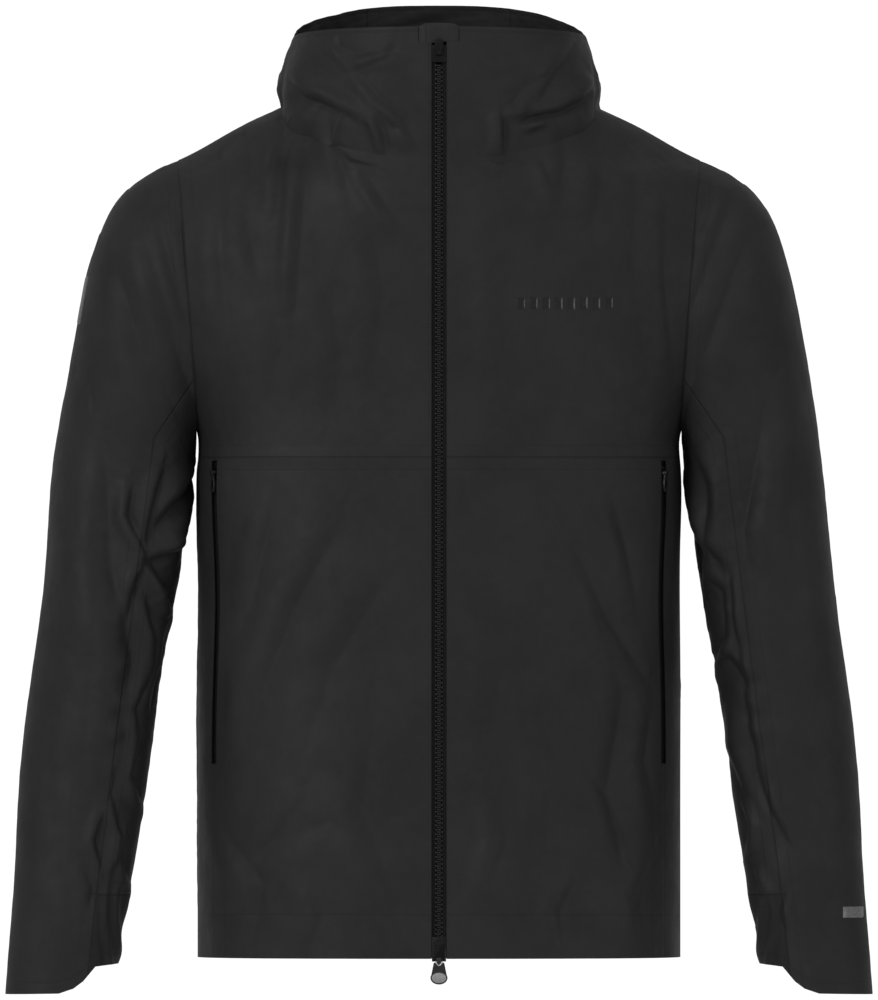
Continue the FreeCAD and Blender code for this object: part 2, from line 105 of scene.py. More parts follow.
# ---- curves and surfaces --------------------------------------------------------------------------
def smooth_table(keys, values):
    """Natural cubic curves through a table's columns, as a function of the key."""
    keys, values = np.asarray(keys, float), np.asarray(values, float)
    count, step = len(keys), np.diff(keys)
    system, right = np.eye(count), np.zeros_like(values)
    for i in range(1, count - 1):
        system[i, i - 1:i + 2] = step[i - 1], 2 * (step[i - 1] + step[i]), step[i]
        right[i] = 6 * ((values[i + 1] - values[i]) / step[i] - (values[i] - values[i - 1]) / step[i - 1])
    bend = np.linalg.solve(system, right)

    def at(key):
        key = np.clip(np.asarray(key, float), keys[0], keys[-1])
        i = np.clip(np.searchsorted(keys, key) - 1, 0, count - 2)
        h = step[i][:, None]
        a, b = (keys[i + 1] - key)[:, None] / h, (key - keys[i])[:, None] / h
        curve = a * values[i] + b * values[i + 1]
        return curve + ((a ** 3 - a) * bend[i] + (b ** 3 - b) * bend[i + 1]) * h ** 2 / 6
    return at


def zip_front(z):
    return ZIP_AT_HEM - ZIP_LEAN * z


def oval(turn, half_x, front, back, power):
    c, s = np.cos(turn), np.sin(turn)
    x = half_x * np.sign(c) * np.abs(c) ** (2 / power)
    y = np.sign(s) * np.abs(s) ** (2 / power) * np.where(s > 0, back, front)
    return x, y


def even_turns(count, power):
    """Turns that space the points of a rounded box about evenly."""
    fine = np.linspace(0, 2 * np.pi, 4001)
    x, y = oval(fine, 1.3, 1.0, 1.0, power)
    run = np.concatenate([[0], np.cumsum(np.hypot(np.diff(x), np.diff(y)))])
    return np.interp(np.linspace(0, run[-1], count, endpoint=False), run, fine)


def rings_at(table, heights):
    """Half width, depth behind and squareness of a table's rings at some heights."""
    return smooth_table([row[0] for row in table], [row[1:] for row in table])(heights)


def around_body(table, heights, turns):
    rings = rings_at(table, heights)
    x, y = oval(turns[None, :], rings[:, :1], zip_front(heights)[:, None], rings[:, 1:2], rings[:, 2:3])
    return np.stack([x, y, np.broadcast_to(heights[:, None], x.shape)], axis=-1)


def sleeve_surface(rows, turns):
    table = np.asarray(SLEEVE, float)
    middle = (table[:, :2] + table[:, 2:4]) / 2
    outer = np.hypot(*np.diff(table[:, 2:4], axis=0).T)
    inner = np.hypot(*np.diff(table[:, :2], axis=0).T)
    run = np.concatenate([[0], np.cumsum((outer + inner) / 2)])
    values = smooth_table(run, table)(np.linspace(0, run[-1], rows))
    inner, outer = values[:, :2], values[:, 2:4]
    across = outer - inner
    half = np.hypot(across[:, 0], across[:, 1]) / 2
    x, y = oval(turns[None, :], half[:, None], values[:, 5:6], values[:, 5:6], 2.2)
    middle = (inner + outer) / 2
    direction = across / (2 * half[:, None])
    return np.stack([
        middle[:, :1] + direction[:, :1] * x,
        values[:, 4:5] + y,
        middle[:, 1:] + direction[:, 1:] * x], axis=-1)


def grid_normals(points):
    """Outward normals of a tube of rows of points that close on themselves."""
    around = np.roll(points, -1, axis=1) - np.roll(points, 1, axis=1)
    along = np.gradient(points, axis=0)
    normal = np.cross(around, along)
    return normal / np.maximum(np.linalg.norm(normal, axis=-1, keepdims=True), 1e-9)


# ---- folds ----------------------------------------------------------------------------------------
def distance_to_path(x, z, path):
    """Distance to a path in the front view, its side, and how far along it the nearest point is."""
    best, side, share = np.full(x.shape, 1e9), np.zeros(x.shape), np.zeros(x.shape)
    lengths = [math.dist(a, b) for a, b in zip(path, path[1:])]
    total, done = sum(lengths), 0.0
    for (x0, z0), (x1, z1), length in zip(path, path[1:], lengths):
        ux, uz = (x1 - x0) / length, (z1 - z0) / length
        t = np.clip((x - x0) * ux + (z - z0) * uz, 0, length)
        dx, dz = x - x0 - t * ux, z - z0 - t * uz
        gap = np.hypot(dx, dz)
        closer = gap < best
        best = np.where(closer, gap, best)
        side = np.where(closer, np.sign(ux * dz - uz * dx), side)
        share = np.where(closer, (done + t) / total, share)
        done += length
    return best, side, share


def fold(x, z, path, height, width):
    """A soft fold along a path: a rounded ridge with a creased valley on its left side."""
    gap, side, share = distance_to_path(x, z, path)
    taper = np.sin(np.pi * np.clip(share, 0.02, 0.98)) ** 0.7
    signed = gap * side / width
    ridge = np.exp(-(signed + 0.6) ** 2)
    valley = 0.9 * np.exp(-np.sqrt((signed - 0.45) ** 2 + 0.01) / 0.4)
    return height * taper * (ridge - valley)


def ripples(points, seed, scale, stretch=(1, 1, 1), sharp=0.0):
    """Smooth unevenness from waves in random directions, with creased tops if sharp."""
    random, count = np.random.default_rng(seed), 14
    total = np.zeros(points.shape[:-1])
    scaled = points / (scale * np.asarray(stretch, float))
    for _ in range(count):
        direction = random.normal(size=3)
        wave = np.sin(scaled @ direction * 2 + random.uniform(0, 6.28))
        if sharp:
            wave = (1 - sharp) * wave + sharp * (1 - 2 * np.abs(wave) ** 0.7)
        total += wave
    return total / math.sqrt(count)


def ease(low, high, value):
    t = np.clip((value - low) / (high - low), 0, 1)
    return t * t * (3 - 2 * t)


# ---- where the cloth is folded, in the front view: path, height, width ---------------------------
def mirrored_paths(folds):
    return [([(-x, z) for x, z in path], height, width) for path, height, width in folds]


FRONT_FOLDS = [
    ([(-108, 696), (-113, 653), (-119, 571), (-122, 520)], 5.0, 8),
    ([(-95, 694), (-86, 660), (-77, 625)], 3.8, 7),
    ([(-84, 664), (-72, 652), (-50, 646)], 3.4, 5), ([(-70, 650), (-49, 617), (-28, 588)], 3.6, 7),
    ([(-132, 684), (-131, 647), (-136, 600)], 3.2, 7), ([(-118, 680), (-130, 652), (-138, 630)], 2.6, 6),
    ([(-54, 690), (-47, 668), (-44, 655)], 2.4, 5), ([(-160, 670), (-162, 600), (-150, 540)], 2.6, 11),
    ([(-180, 650), (-184, 580), (-176, 500)], 2.4, 10), ([(-143, 560), (-136, 500), (-150, 440)], 1.8, 14),
    ([(-60, 600), (-52, 540), (-60, 470)], 1.6, 12), ([(-100, 560), (-88, 500), (-94, 440)], 1.8, 15),
    ([(50, 694), (51, 676), (52, 652)], 3.2, 6), ([(66, 680), (74, 684), (86, 688)], 3.0, 4),
    ([(36, 653), (50, 648), (66, 655)], 2.0, 5), ([(79, 654), (86, 640), (92, 622)], 2.2, 6),
    ([(95, 690), (98, 650), (92, 600)], 2.4, 10), ([(120, 690), (128, 640), (116, 570)], 2.2, 10),
    ([(158, 660), (152, 580), (166, 480)], 2.2, 13), ([(182, 640), (180, 560), (188, 470)], 2.4, 9),
    ([(60, 600), (48, 540), (56, 470)], 1.4, 14), ([(110, 540), (120, 480), (108, 430)], 1.6, 15),
    ([(-82, 367), (-123, 293), (-155, 211), (-172, 162)], 4.0, 15),
    ([(-40, 330), (-95, 240), (-120, 160)], 2.2, 17),
    ([(-155, 80), (-90, 104), (-45, 71)], 1.8, 14), ([(-114, 137), (-155, 80), (-170, 30)], 2.4, 13),
    ([(-60, 200), (-70, 120), (-40, 40)], 2.6, 14), ([(-185, 110), (-150, 60), (-160, 4)], 2.8, 11),
    ([(-136, 385), (-150, 330), (-160, 280)], 2.4, 10), ([(-110, 60), (-100, 35), (-112, 2)], 2.4, 9),
    ([(78, 375), (111, 325), (132, 276), (173, 211)], 3.6, 14), ([(41, 137), (50, 96), (33, 47)], 3.0, 10),
    ([(132, 260), (144, 211), (132, 137), (152, 88)], 3.0, 13),
    ([(173, 227), (164, 162), (177, 104)], 3.0, 10),
    ([(99, 170), (132, 129), (150, 60)], 2.4, 13), ([(70, 240), (88, 160), (78, 60)], 3.0, 15),
    ([(176, 90), (160, 50), (166, 3)], 3.0, 10), ([(30, 330), (46, 250), (30, 160)], 2.0, 16),
    ([(110, 70), (95, 40), (100, 2)], 3.0, 9), ([(135, 385), (150, 330), (158, 290)], 2.6, 10),
]
BACK_FOLDS = [
    ([(-150, 640), (-120, 560), (-60, 520)], 3.0, 16), ([(150, 640), (118, 556), (64, 522)], 3.0, 16),
    ([(-170, 520), (-120, 470), (-40, 455)], 2.6, 17), ([(168, 515), (124, 466), (50, 458)], 2.6, 17),
    ([(-90, 430), (-100, 300), (-85, 180)], 2.8, 22), ([(30, 440), (20, 320), (38, 190)], 2.4, 22),
    ([(110, 420), (128, 300), (112, 150)], 3.0, 20), ([(-150, 300), (-130, 180), (-150, 60)], 2.6, 16),
    ([(-40, 260), (-52, 150), (-30, 30)], 2.4, 18), ([(80, 230), (70, 120), (92, 20)], 2.6, 17),
    ([(160, 380), (168, 260), (150, 150)], 2.0, 14), ([(-10, 600), (-4, 520), (-14, 430)], 1.6, 16),
]
SLEEVE_FOLDS = [     # on the right sleeve
    ([(-252, 622), (-236, 560), (-215, 480), (-200, 440)], 3.2, 12),
    ([(-237, 622), (-222, 560), (-205, 500)], 2.4, 8),
    ([(-222, 640), (-212, 590), (-203, 540)], 2.0, 8), ([(-276, 585), (-252, 500), (-214, 430)], 2.6, 15),
    ([(-285, 440), (-278, 320), (-260, 250), (-266, 160)], 6.5, 20),
    ([(-252, 392), (-256, 362), (-241, 326)], 4.6, 6),
    ([(-226, 405), (-238, 366), (-242, 330)], 4.6, 6), ([(-196, 408), (-220, 376), (-236, 352)], 5.2, 7),
    ([(-203, 352), (-224, 335), (-243, 324)], 4.0, 7), ([(-239, 326), (-224, 302), (-217, 280)], 4.4, 6),
    ([(-240, 330), (-253, 297), (-258, 270)], 4.0, 7), ([(-194, 388), (-212, 350), (-214, 320)], 4.4, 7),
    ([(-241, 296), (-234, 262), (-238, 230)], 4.0, 6), ([(-238, 236), (-249, 204), (-244, 170)], 4.2, 6),
    ([(-222, 280), (-229, 240), (-238, 200)], 3.6, 6), ([(-246, 176), (-252, 149), (-242, 120)], 3.6, 5),
    ([(-268, 130), (-261, 100), (-268, 66)], 3.4, 5), ([(-274, 124), (-282, 96), (-276, 70)], 3.0, 5),
    ([(-252, 110), (-260, 82), (-252, 56)], 3.0, 5), ([(-294, 80), (-286, 56), (-290, 36)], 2.0, 7),
    ([(-285, 330), (-292, 240), (-300, 140)], 1.4, 18), ([(-322, 300), (-330, 180), (-322, 60)], 1.2, 20),
    ([(-300, 470), (-306, 380), (-296, 300)], 1.4, 18),
]
LEFT_SLEEVE_FOLDS = [
    ([(248, 628), (225, 568), (205, 510), (198, 450)], 3.0, 12),
    ([(232, 640), (214, 590), (203, 540)], 2.4, 8),
    ([(262, 600), (240, 540), (214, 470), (200, 430)], 2.6, 12),
    ([(278, 470), (264, 390), (256, 350), (260, 305)], 5.0, 16),
    ([(196, 398), (213, 348), (226, 326)], 4.6, 8),
    ([(208, 424), (222, 390), (225, 344), (240, 308)], 4.6, 8),
    ([(241, 320), (246, 269), (251, 240)], 4.0, 6),
    ([(219, 320), (234, 302), (237, 265), (224, 234)], 4.2, 8),
    ([(226, 248), (240, 248), (257, 222)], 2.6, 7), ([(234, 206), (236, 172), (253, 128)], 2.8, 7),
    ([(251, 236), (256, 190), (268, 136)], 3.2, 7), ([(206, 372), (218, 330), (216, 300)], 2.8, 8),
    ([(262, 150), (274, 121), (293, 86)], 2.8, 7), ([(246, 130), (254, 108), (250, 84)], 3.2, 5),
    ([(256, 76), (264, 54), (258, 30)], 3.0, 5), ([(285, 56), (280, 40), (286, 20)], 1.8, 6),
    ([(290, 420), (300, 320), (292, 210)], 1.3, 18), ([(325, 280), (318, 180), (328, 80)], 1.2, 20),
]
COLLAR_FOLDS = [
    ([(-72, 726), (-52, 703), (-32, 686), (-19, 660)], 3.4, 6),
    ([(-54, 692), (-47, 670), (-45, 656)], 2.6, 5),
    ([(-64, 684), (-77, 694), (-104, 706), (-124, 727)], 6.0, 7),
    ([(-95, 752), (-70, 736), (-30, 740)], 2.0, 7),
    ([(-38, 752), (-44, 738), (-70, 728)], 1.8, 6), ([(-112, 746), (-104, 728), (-86, 716)], 2.6, 7),
    ([(-84, 756), (-84, 744), (-80, 735)], 1.6, 4), ([(-60, 700), (-40, 676), (-14, 668)], 1.6, 8),
    ([(125, 720), (112, 704), (95, 694), (72, 690)], 6.5, 6), ([(50, 692), (63, 696), (71, 710)], 4.0, 6),
    ([(112, 757), (89, 719), (76, 696)], 3.2, 7), ([(50, 697), (52, 676), (48, 650)], 2.2, 7),
    ([(100, 745), (84, 724), (62, 712)], 2.2, 8), ([(66, 678), (76, 684), (86, 687)], 2.4, 4),
    ([(30, 745), (46, 735), (70, 734)], 1.4, 8), ([(20, 690), (34, 676), (40, 658)], 1.6, 7),
]


def torso_folds(points, normals):
    x, y, z = points[..., 0], points[..., 1], points[..., 2]
    front, back = ease(0.0, 0.5, -normals[..., 1]), ease(0.0, 0.5, normals[..., 1])
    calm = ease(8, 40, np.abs(x)) * front + back
    total = 1.3 * ripples(points, 3, 95, (1, 1, 2.2)) + 0.5 * ripples(points, 5, 34, (1, 1, 1.7), 0.35)
    total += 0.25 * ripples(points, 8, 14, (1, 1, 1.4), 0.5)
    total = total * np.where(front > 0, 0.75 * calm, 1.0)
    for path, height, width in FRONT_FOLDS:
        total += fold(x, z, path, height, width) * front * calm
    for path, height, width in BACK_FOLDS:
        total += fold(x, z, path, height, width) * back
    pocket_zip = ease(18, 5, np.abs(np.abs(x) - SIDE_SEAM)) * ease(120, 140, z) * ease(430, 415, z) * front
    return total * (1 - 0.6 * ease(400, 409, z) * ease(419, 410, z)) * (1 - 0.75 * pocket_zip)


def sleeve_folds(points, normals, folds):
    """Folds of a sleeve at the right side; folds are given where they lie on it."""
    x, z = points[..., 0], points[..., 2]
    front, back = ease(-0.35, 0.35, -normals[..., 1]), ease(-0.35, 0.35, normals[..., 1])
    elbow = np.exp(-((z - 300) / 130) ** 2) * ease(-330, -225, x)
    total = 1.2 * ripples(points, 11, 80, (1, 1, 1.8))
    total += (0.15 + 0.45 * elbow) * ripples(points, 12, 26, (1, 1, 1.2), 0.5)
    total += (0.12 + 0.4 * elbow) * ripples(points, 13, 15, (1.2, 1, 0.9), 0.5)
    for path, height, width in folds:
        total += 1.35 * fold(x, z, path, height, width) * (front + 0.75 * back)
    seam, _, _ = distance_to_path(x, z, UNDERARM_SEAM)
    pucker = 1.3 * np.sin(z / 5.5 + 2 * np.sin(z / 31)) * np.exp(-(seam / 9) ** 2)
    total += pucker * ease(330, 250, z) * ease(20, 60, z)
    gather = ease(70, 40, z) * ease(-285, -268, x)
    total += 1.3 * gather * np.sin(x / 1.6 + 2.4 * np.sin(z / 24))
    return total


def cowl_folds(points, normals):
    x, y, z = points[..., 0], points[..., 1], points[..., 2]
    front = ease(0.0, 0.5, -normals[..., 1])
    total = torso_folds(points, normals) * front * ease(708, 690, z)
    loose = ease(-70, 30, y)
    total += (0.4 + 1.6 * loose) * ripples(points, 21, 60, (1, 1, 0.8))
    total += (0.2 + 0.9 * loose) * ripples(points, 22, 25, (1.5, 1, 0.7), 0.5)
    for path, height, width in COLLAR_FOLDS:
        total += fold(x, z, path, height, width) * front
    for drop in (0, 1, 2, 3):
        sag = z - (690 - 27 * drop) - 0.0016 * x ** 2 * (1 + 0.3 * drop) - 5 * math.sin(2.1 * drop)
        total += 3.0 * np.exp(-(sag / 8) ** 2) * ease(60, 120, y) * np.cos(x / 70 + drop)
    lobe = ease(697, 712, z) * ease(758, 715, z) * ease(70, 120, np.abs(x))
    total += 4.0 * lobe * ease(90, 40, y)
    calm = np.maximum(ease(8, 30, np.abs(x)), ease(0, 40, y))
    return total * calm


# ---- cutting cloth into panels --------------------------------------------------------------------
def crossings(points, values):
    """Where a grid of points crosses the level zero of some values, along its rows and columns."""
    found = []
    for axis in (0, 1):
        after, beyond = np.roll(points, -1, axis), np.roll(values, -1, axis)
        change = (values < 0) != (beyond < 0)
        if axis == 0:
            change[-1] = False
        share = (values / np.where(change, values - beyond, 1))[..., None]
        found.append((points + (after - points) * share)[change])
    return np.concatenate(found)


def drawn_to(points, values, target, centre, axes, reach, slack):
    """Move a grid's points near the plane where values are zero, so that its outline there is the target's.

    The outlines are compared by their radius at each turn around a centre, in the plane of two axes.
    """
    def polar(places):
        flat = (places - centre) @ np.stack(axes, axis=1)
        return np.arctan2(flat[..., 1], flat[..., 0]), np.hypot(flat[..., 0], flat[..., 1])

    def outline(places):
        turn, radius = polar(places)
        order = np.argsort(turn)
        steps = np.linspace(-np.pi, np.pi, 721)
        return lambda at: np.interp(at, steps, np.interp(steps, turn[order], radius[order], period=2 * np.pi))

    own, wanted = outline(crossings(points, values)), outline(target)
    turn, radius = polar(points)
    ratio = np.clip(wanted(turn) / own(turn), 1 - slack, 1 + slack)
    share = ease(reach, 0, np.abs(values)) * (ratio - 1)
    flat = (points - centre) @ np.stack(axes, axis=1)
    return points + (flat * share[..., None]) @ np.stack(axes)


def grid_mesh(points):
    """A mesh of a tube from rows of points that close on themselves."""
    rows, columns = points.shape[:2]
    i, j = np.meshgrid(np.arange(rows - 1), np.arange(columns), indexing="ij")
    after = (j + 1) % columns
    row, above = i * columns, (i + 1) * columns
    quads = np.stack([row + j, row + after, above + after, above + j], -1)
    return mesh_from(points.reshape(-1, 3), quads.reshape(-1, 4).tolist())


def in_frame(points):
    """Points in the frame, in metres, from tailor's coordinates."""
    return (np.array(points, float) - HANG_LOOP) / MM


def mesh_from(points, faces, name="cloth"):
    mesh = bpy.data.meshes.new(name)
    mesh.from_pydata(in_frame(points).tolist(), [], faces)
    return mesh


def points_of(mesh):
    """A mesh's points in tailor's coordinates."""
    points = np.empty(len(mesh.vertices) * 3)
    mesh.vertices.foreach_get("co", points)
    return points.reshape(-1, 3) * MM + HANG_LOOP


def near(low=(-999, -999, -999), high=(999, 999, 999), hand=-1):
    """A test for faces whose middle is in a box, given at the right side and mirrored for the left."""
    if hand > 0:
        low, high = (-high[0], *low[1:]), (-low[0], *high[1:])
    low, high = Vector(in_frame(low)), Vector(in_frame(high))
    return lambda p: low.x < p.x < high.x and low.y < p.y < high.y and low.z < p.z < high.z


def cut(cloth, point, normal, where=None):
    """Cut faces along a plane, without parting them."""
    faces = [f for f in cloth.faces if where is None or where(f.calc_center_median())]
    edges = {e for f in faces for e in f.edges}
    verts = {v for f in faces for v in f.verts}
    bmesh.ops.bisect_plane(cloth, geom=faces + list(edges) + list(verts), dist=2e-6,
                           plane_co=Vector(in_frame(point)), plane_no=Vector(normal))


def cut_front_line(cloth, start, end, where=None):
    """Cut along the plane through a line in the front view."""
    (x0, z0), (x1, z1) = start, end
    cut(cloth, (x0, 0, z0), (z1 - z0, 0, x0 - x1), where)


def cut_side_line(cloth, start, end, where=None):
    (y0, z0), (y1, z1) = start, end
    cut(cloth, (0, y0, z0), (0, z1 - z0, y0 - y1), where)


def panels(cloth, sort):
    """Meshes of the faces that sort gives the same name, by name; a face with no name is dropped."""
    whole = bpy.data.meshes.new("whole")
    cloth.to_mesh(whole)
    cloth.free()
    count = len(whole.polygons)
    centres = np.empty(count * 3)
    whole.polygons.foreach_get("center", centres)
    centres = centres.reshape(-1, 3) * MM + HANG_LOOP
    names = sort(centres[:, 0], centres[:, 1], centres[:, 2])
    starts, totals = np.empty(count, int), np.empty(count, int)
    whole.polygons.foreach_get("loop_start", starts)
    whole.polygons.foreach_get("loop_total", totals)
    loops = np.empty(len(whole.loops), int)
    whole.loops.foreach_get("vertex_index", loops)
    points = np.empty(len(whole.vertices) * 3)
    whole.vertices.foreach_get("co", points)
    points = points.reshape(-1, 3)
    made = {}
    for name in sorted(set(names) - {""}):
        chosen = np.nonzero(names == name)[0]
        faces = [loops[starts[k]:starts[k] + totals[k]] for k in chosen]
        used, flat = np.unique(np.concatenate(faces), return_inverse=True)
        ends = np.cumsum([len(f) for f in faces])[:-1]
        mesh = bpy.data.meshes.new(name)
        mesh.from_pydata(points[used].tolist(), [], [f.tolist() for f in np.split(flat, ends)])
        made[name] = mesh
    bpy.data.meshes.remove(whole)
    return made


def piece(name, mesh, material, body="jacket", replaces=()):
    obj = bpy.data.objects.new(name, mesh)
    bpy.context.scene.collection.objects.link(obj)
    mesh.materials.append(material)
    mesh.shade_smooth()
    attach(obj, body)
    for node in replaces:
        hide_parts(node)
    return obj


def mark_edges(mesh):
    """Keep the shading of a panel's face apart from that of its cut edge."""
    sides = np.empty(len(mesh.loops), int)
    mesh.loops.foreach_get("edge_index", sides)
    open_edges = np.bincount(sides, minlength=len(mesh.edges)) == 1
    layer = mesh.attributes.new("sharp_edge", "BOOLEAN", "EDGE")
    layer.data.foreach_set("value", open_edges)


def cloth_piece(name, mesh, material, seams, stitches, replaces=(), thickness=CLOTH, slot="shell_fabric"):
    """A panel of cloth with its distances to seams and stitches, and its thickness on the inner side."""
    points = points_of(mesh)
    seam, _ = seam_distance(points, seams)
    stitch, run = seam_distance(points, stitches)
    for key, values in (("seam", seam), ("stitch", stitch), ("run", run)):
        layer = mesh.attributes.new(key, "FLOAT", "POINT")
        layer.data.foreach_set("value", values.astype(np.float32))
    mark_edges(mesh)
    obj = piece(name, mesh, material, replaces=replaces)
    solid = obj.modifiers.new("thickness", "SOLIDIFY")
    solid.thickness = thickness / MM
    solid.offset = -1
    if material is shell:
        mesh.materials.append(lining)
        solid.material_offset = 1


def seam_distance(points, seams):
    """Distance to the nearest seam, and the place along it, in millimetres."""
    x, y, z = points.T
    nearest, run = np.full(len(points), 200.0), np.zeros(len(points))
    for seam in seams:
        gap, along = seam(x, y, z)
        closer = gap < nearest
        nearest, run = np.where(closer, gap, nearest), np.where(closer, along, run)
    return nearest, run


def level_seam(height):
    return lambda x, y, z: (np.abs(z - height), np.hypot(x, y) * np.arctan2(y, x))


def path_seam(path, end_above=9999):
    """A seam along a path in the front view, which may end at a height."""
    length = sum(math.dist(a, b) for a, b in zip(path, path[1:]))

    def seam(x, y, z):
        gap, _, share = distance_to_path(x, z, path)
        return gap + np.where(z > end_above, AWAY, 0), share * length
    return seam


# ---- materials ------------------------------------------------------------------------------------
class Nodes:
    """A material's node tree, built a node at a time."""

    def __init__(self, name):
        self.material = bpy.data.materials.new(name)
        self.material.use_nodes = True
        self.tree = self.material.node_tree
        self.shader = self.tree.nodes["Principled BSDF"]
        self.place = self.add("ShaderNodeTexCoord").outputs["Object"]

    def add(self, kind, **sockets):
        node = self.tree.nodes.new(kind)
        for key, value in sockets.items():
            self.set(node.inputs[key.replace("_", " ")], value)
        return node

    def set(self, socket, value):
        if isinstance(value, bpy.types.NodeSocket):
            self.tree.links.new(value, socket)
        else:
            socket.default_value = value

    def math(self, operation, *values):
        node = self.tree.nodes.new("ShaderNodeMath")
        node.operation = operation
        for socket, value in zip(node.inputs, values):
            self.set(socket, value)
        return node.outputs[0]

    def attribute(self, name):
        node = self.tree.nodes.new("ShaderNodeAttribute")
        node.attribute_name = name
        return node.outputs["Fac"]

    def noise(self, scale, detail=3.0, roughness=0.55):
        node = self.add("ShaderNodeTexNoise", Vector=self.place, Scale=scale, Detail=detail,
                        Roughness=roughness)
        return node.outputs["Fac"]

    def waves(self, pitch, turn=(0, 0, 0)):
        """Rounded ridges a pitch apart, in metres, square to the turned x axis."""
        turned = self.add("ShaderNodeMapping", Vector=self.place, Rotation=turn).outputs["Vector"]
        node = self.add("ShaderNodeTexWave", Vector=turned, Scale=2 * math.pi / (20 * pitch), Detail=1.0)
        return node.outputs["Fac"]

    def range(self, value, low, high, to_low=0.0, to_high=1.0):
        node = self.add("ShaderNodeMapRange", Value=value)
        node.interpolation_type = "SMOOTHSTEP"
        for index, number in enumerate((low, high, to_low, to_high)):
            node.inputs[index + 1].default_value = number
        return node.outputs[0]

    def mix(self, share, dark, light):
        node = self.tree.nodes.new("ShaderNodeMix")
        node.data_type = "RGBA"
        self.set(node.inputs["Factor"], share)
        for key, value in (("A", dark), ("B", light)):
            self.set([s for s in node.inputs if s.name == key and s.type == "RGBA"][0], value)
        return [s for s in node.outputs if s.type == "RGBA"][0]

    def bump(self, height, distance, strength=1.0, under=None):
        node = self.add("ShaderNodeBump", Height=height, Distance=distance, Strength=strength)
        if under is not None:
            self.set(node.inputs["Normal"], under)
        return node.outputs["Normal"]

    def finish(self, color, roughness, normal=None, **uniform):
        self.set(self.shader.inputs["Base Color"], color)
        self.set(self.shader.inputs["Roughness"], roughness)
        if normal is not None:
            self.set(self.shader.inputs["Normal"], normal)
        for key, value in uniform.items():
            self.shader.inputs[key.replace("_", " ")].default_value = value
        return self.material


def grey(level, tint=(1.0, 1.0, 1.0)):
    return (level * tint[0], level * tint[1], level * tint[2], 1.0)


def weave(n, pitch, under):
    warp = n.waves(pitch, (0, 0, math.radians(40)))
    weft = n.waves(pitch * 1.1, (0, math.radians(90), 0))
    return n.bump(n.math("MULTIPLY", warp, weft), 0.00004, 0.5, under)


def cloth_material(name, level, roughness, sheen, pitch=0.0005):
    """Matt laminated cloth: fine weave, soft unevenness, welded seams and rows of stitches, with painted
    shade in the seam grooves, along the edge of the seam tape's imprint and beside the stitches.
    """
    n = Nodes(name)
    mottle = n.range(n.noise(14, 4, 0.6), 0.3, 0.7)
    worn = n.range(n.noise(140, 5, 0.7), 0.35, 0.75)
    light = n.mix(mottle, grey(0.86 * level), grey(1.1 * level, (1, 1, 1.01)))
    light = n.mix(n.math("MULTIPLY", worn, 0.22), light, grey(1.6 * level))
    normal = n.bump(n.noise(260, 4, 0.6), 0.00016, 0.35)
    seam, run, stitch = n.attribute("seam"), n.attribute("run"), n.attribute("stitch")
    groove = n.range(seam, 0.2, 1.3)
    tape = n.range(seam, 9.2, 10.2, 1.0, 0.0)
    edge = n.math("MULTIPLY", n.range(seam, 8.6, 9.6), n.range(seam, 9.8, 11.0, 1.0, 0.0))
    in_stitch = n.math("SUBTRACT", n.math("FRACT", n.math("DIVIDE", run, STITCH_LENGTH)), 0.5)
    dash = n.range(n.math("ABSOLUTE", in_stitch), 0.30, 0.42, 1.0, 0.0)
    thread = n.math("MULTIPLY", dash, n.range(stitch, 0.25, 0.6, 1.0, 0.0))
    pull = n.range(stitch, 0.3, 1.8)
    # painted shade: within about a millimetre of a seam the cloth darkens towards 0.35 of its level, as shade
    # in the seam's groove
    light = n.mix(n.range(seam, 0.3, 1.4, 0.42, 0.0), light, grey(0.35 * level))
    # painted shade: a faint dark line about 9 to 11 mm from the seam, at the step along the edge of the seam
    # tape's imprint
    light = n.mix(n.math("MULTIPLY", edge, 0.25), light, grey(0.6 * level))
    # painted shade: the cloth darkens within about 1.5 mm of a row of stitches, where they pull it into a
    # groove
    light = n.mix(n.range(stitch, 0.4, 1.5, 0.3, 0.0), light, grey(0.5 * level))
    light = n.mix(n.math("MULTIPLY", thread, 0.6), light, grey(1.7 * level))
    normal = n.bump(n.math("ADD", groove, n.math("MULTIPLY", tape, 0.4)), 0.0005, 0.6, normal)
    normal = n.bump(n.math("ADD", n.math("MULTIPLY", pull, 0.8), thread), 0.0004, 0.6, normal)
    normal = weave(n, pitch, normal)
    rough = n.range(n.noise(32, 4, 0.6), 0.3, 0.7, roughness - 0.05, roughness + 0.07)
    return n.finish(light, rough, normal, Sheen_Weight=sheen, Sheen_Roughness=0.4, Specular_IOR_Level=0.12)


def ribbed_material(name, level, pitch, slant=45):
    """Woven tape: two slanted ribs that meet as a herringbone, with fuzz between them."""
    n = Nodes(name)
    first = n.waves(pitch, (0, math.radians(slant), 0))
    second = n.waves(pitch, (0, math.radians(-slant), 0))
    across = n.add("ShaderNodeSeparateXYZ", Vector=n.place).outputs["X"]
    pick = n.math("GREATER_THAN", n.math("FRACT", n.math("DIVIDE", across, 0.0024)), 0.5)
    other = n.math("MULTIPLY", second, n.math("SUBTRACT", 1.0, pick))
    ribs = n.math("ADD", n.math("MULTIPLY", first, pick), other)
    fuzz = n.noise(900, 3, 0.6)
    light = n.mix(ribs, grey(0.45 * level), grey(1.2 * level))
    light = n.mix(n.range(n.noise(60), 0.4, 0.7, 0.0, 0.35), light, grey(1.7 * level))
    normal = n.bump(n.math("ADD", ribs, n.math("MULTIPLY", fuzz, 0.3)), 0.0002, 0.8)
    rough = n.range(fuzz, 0.3, 0.7, 0.56, 0.72)
    return n.finish(light, rough, normal, Sheen_Weight=0.03, Sheen_Roughness=0.5, Specular_IOR_Level=0.12)


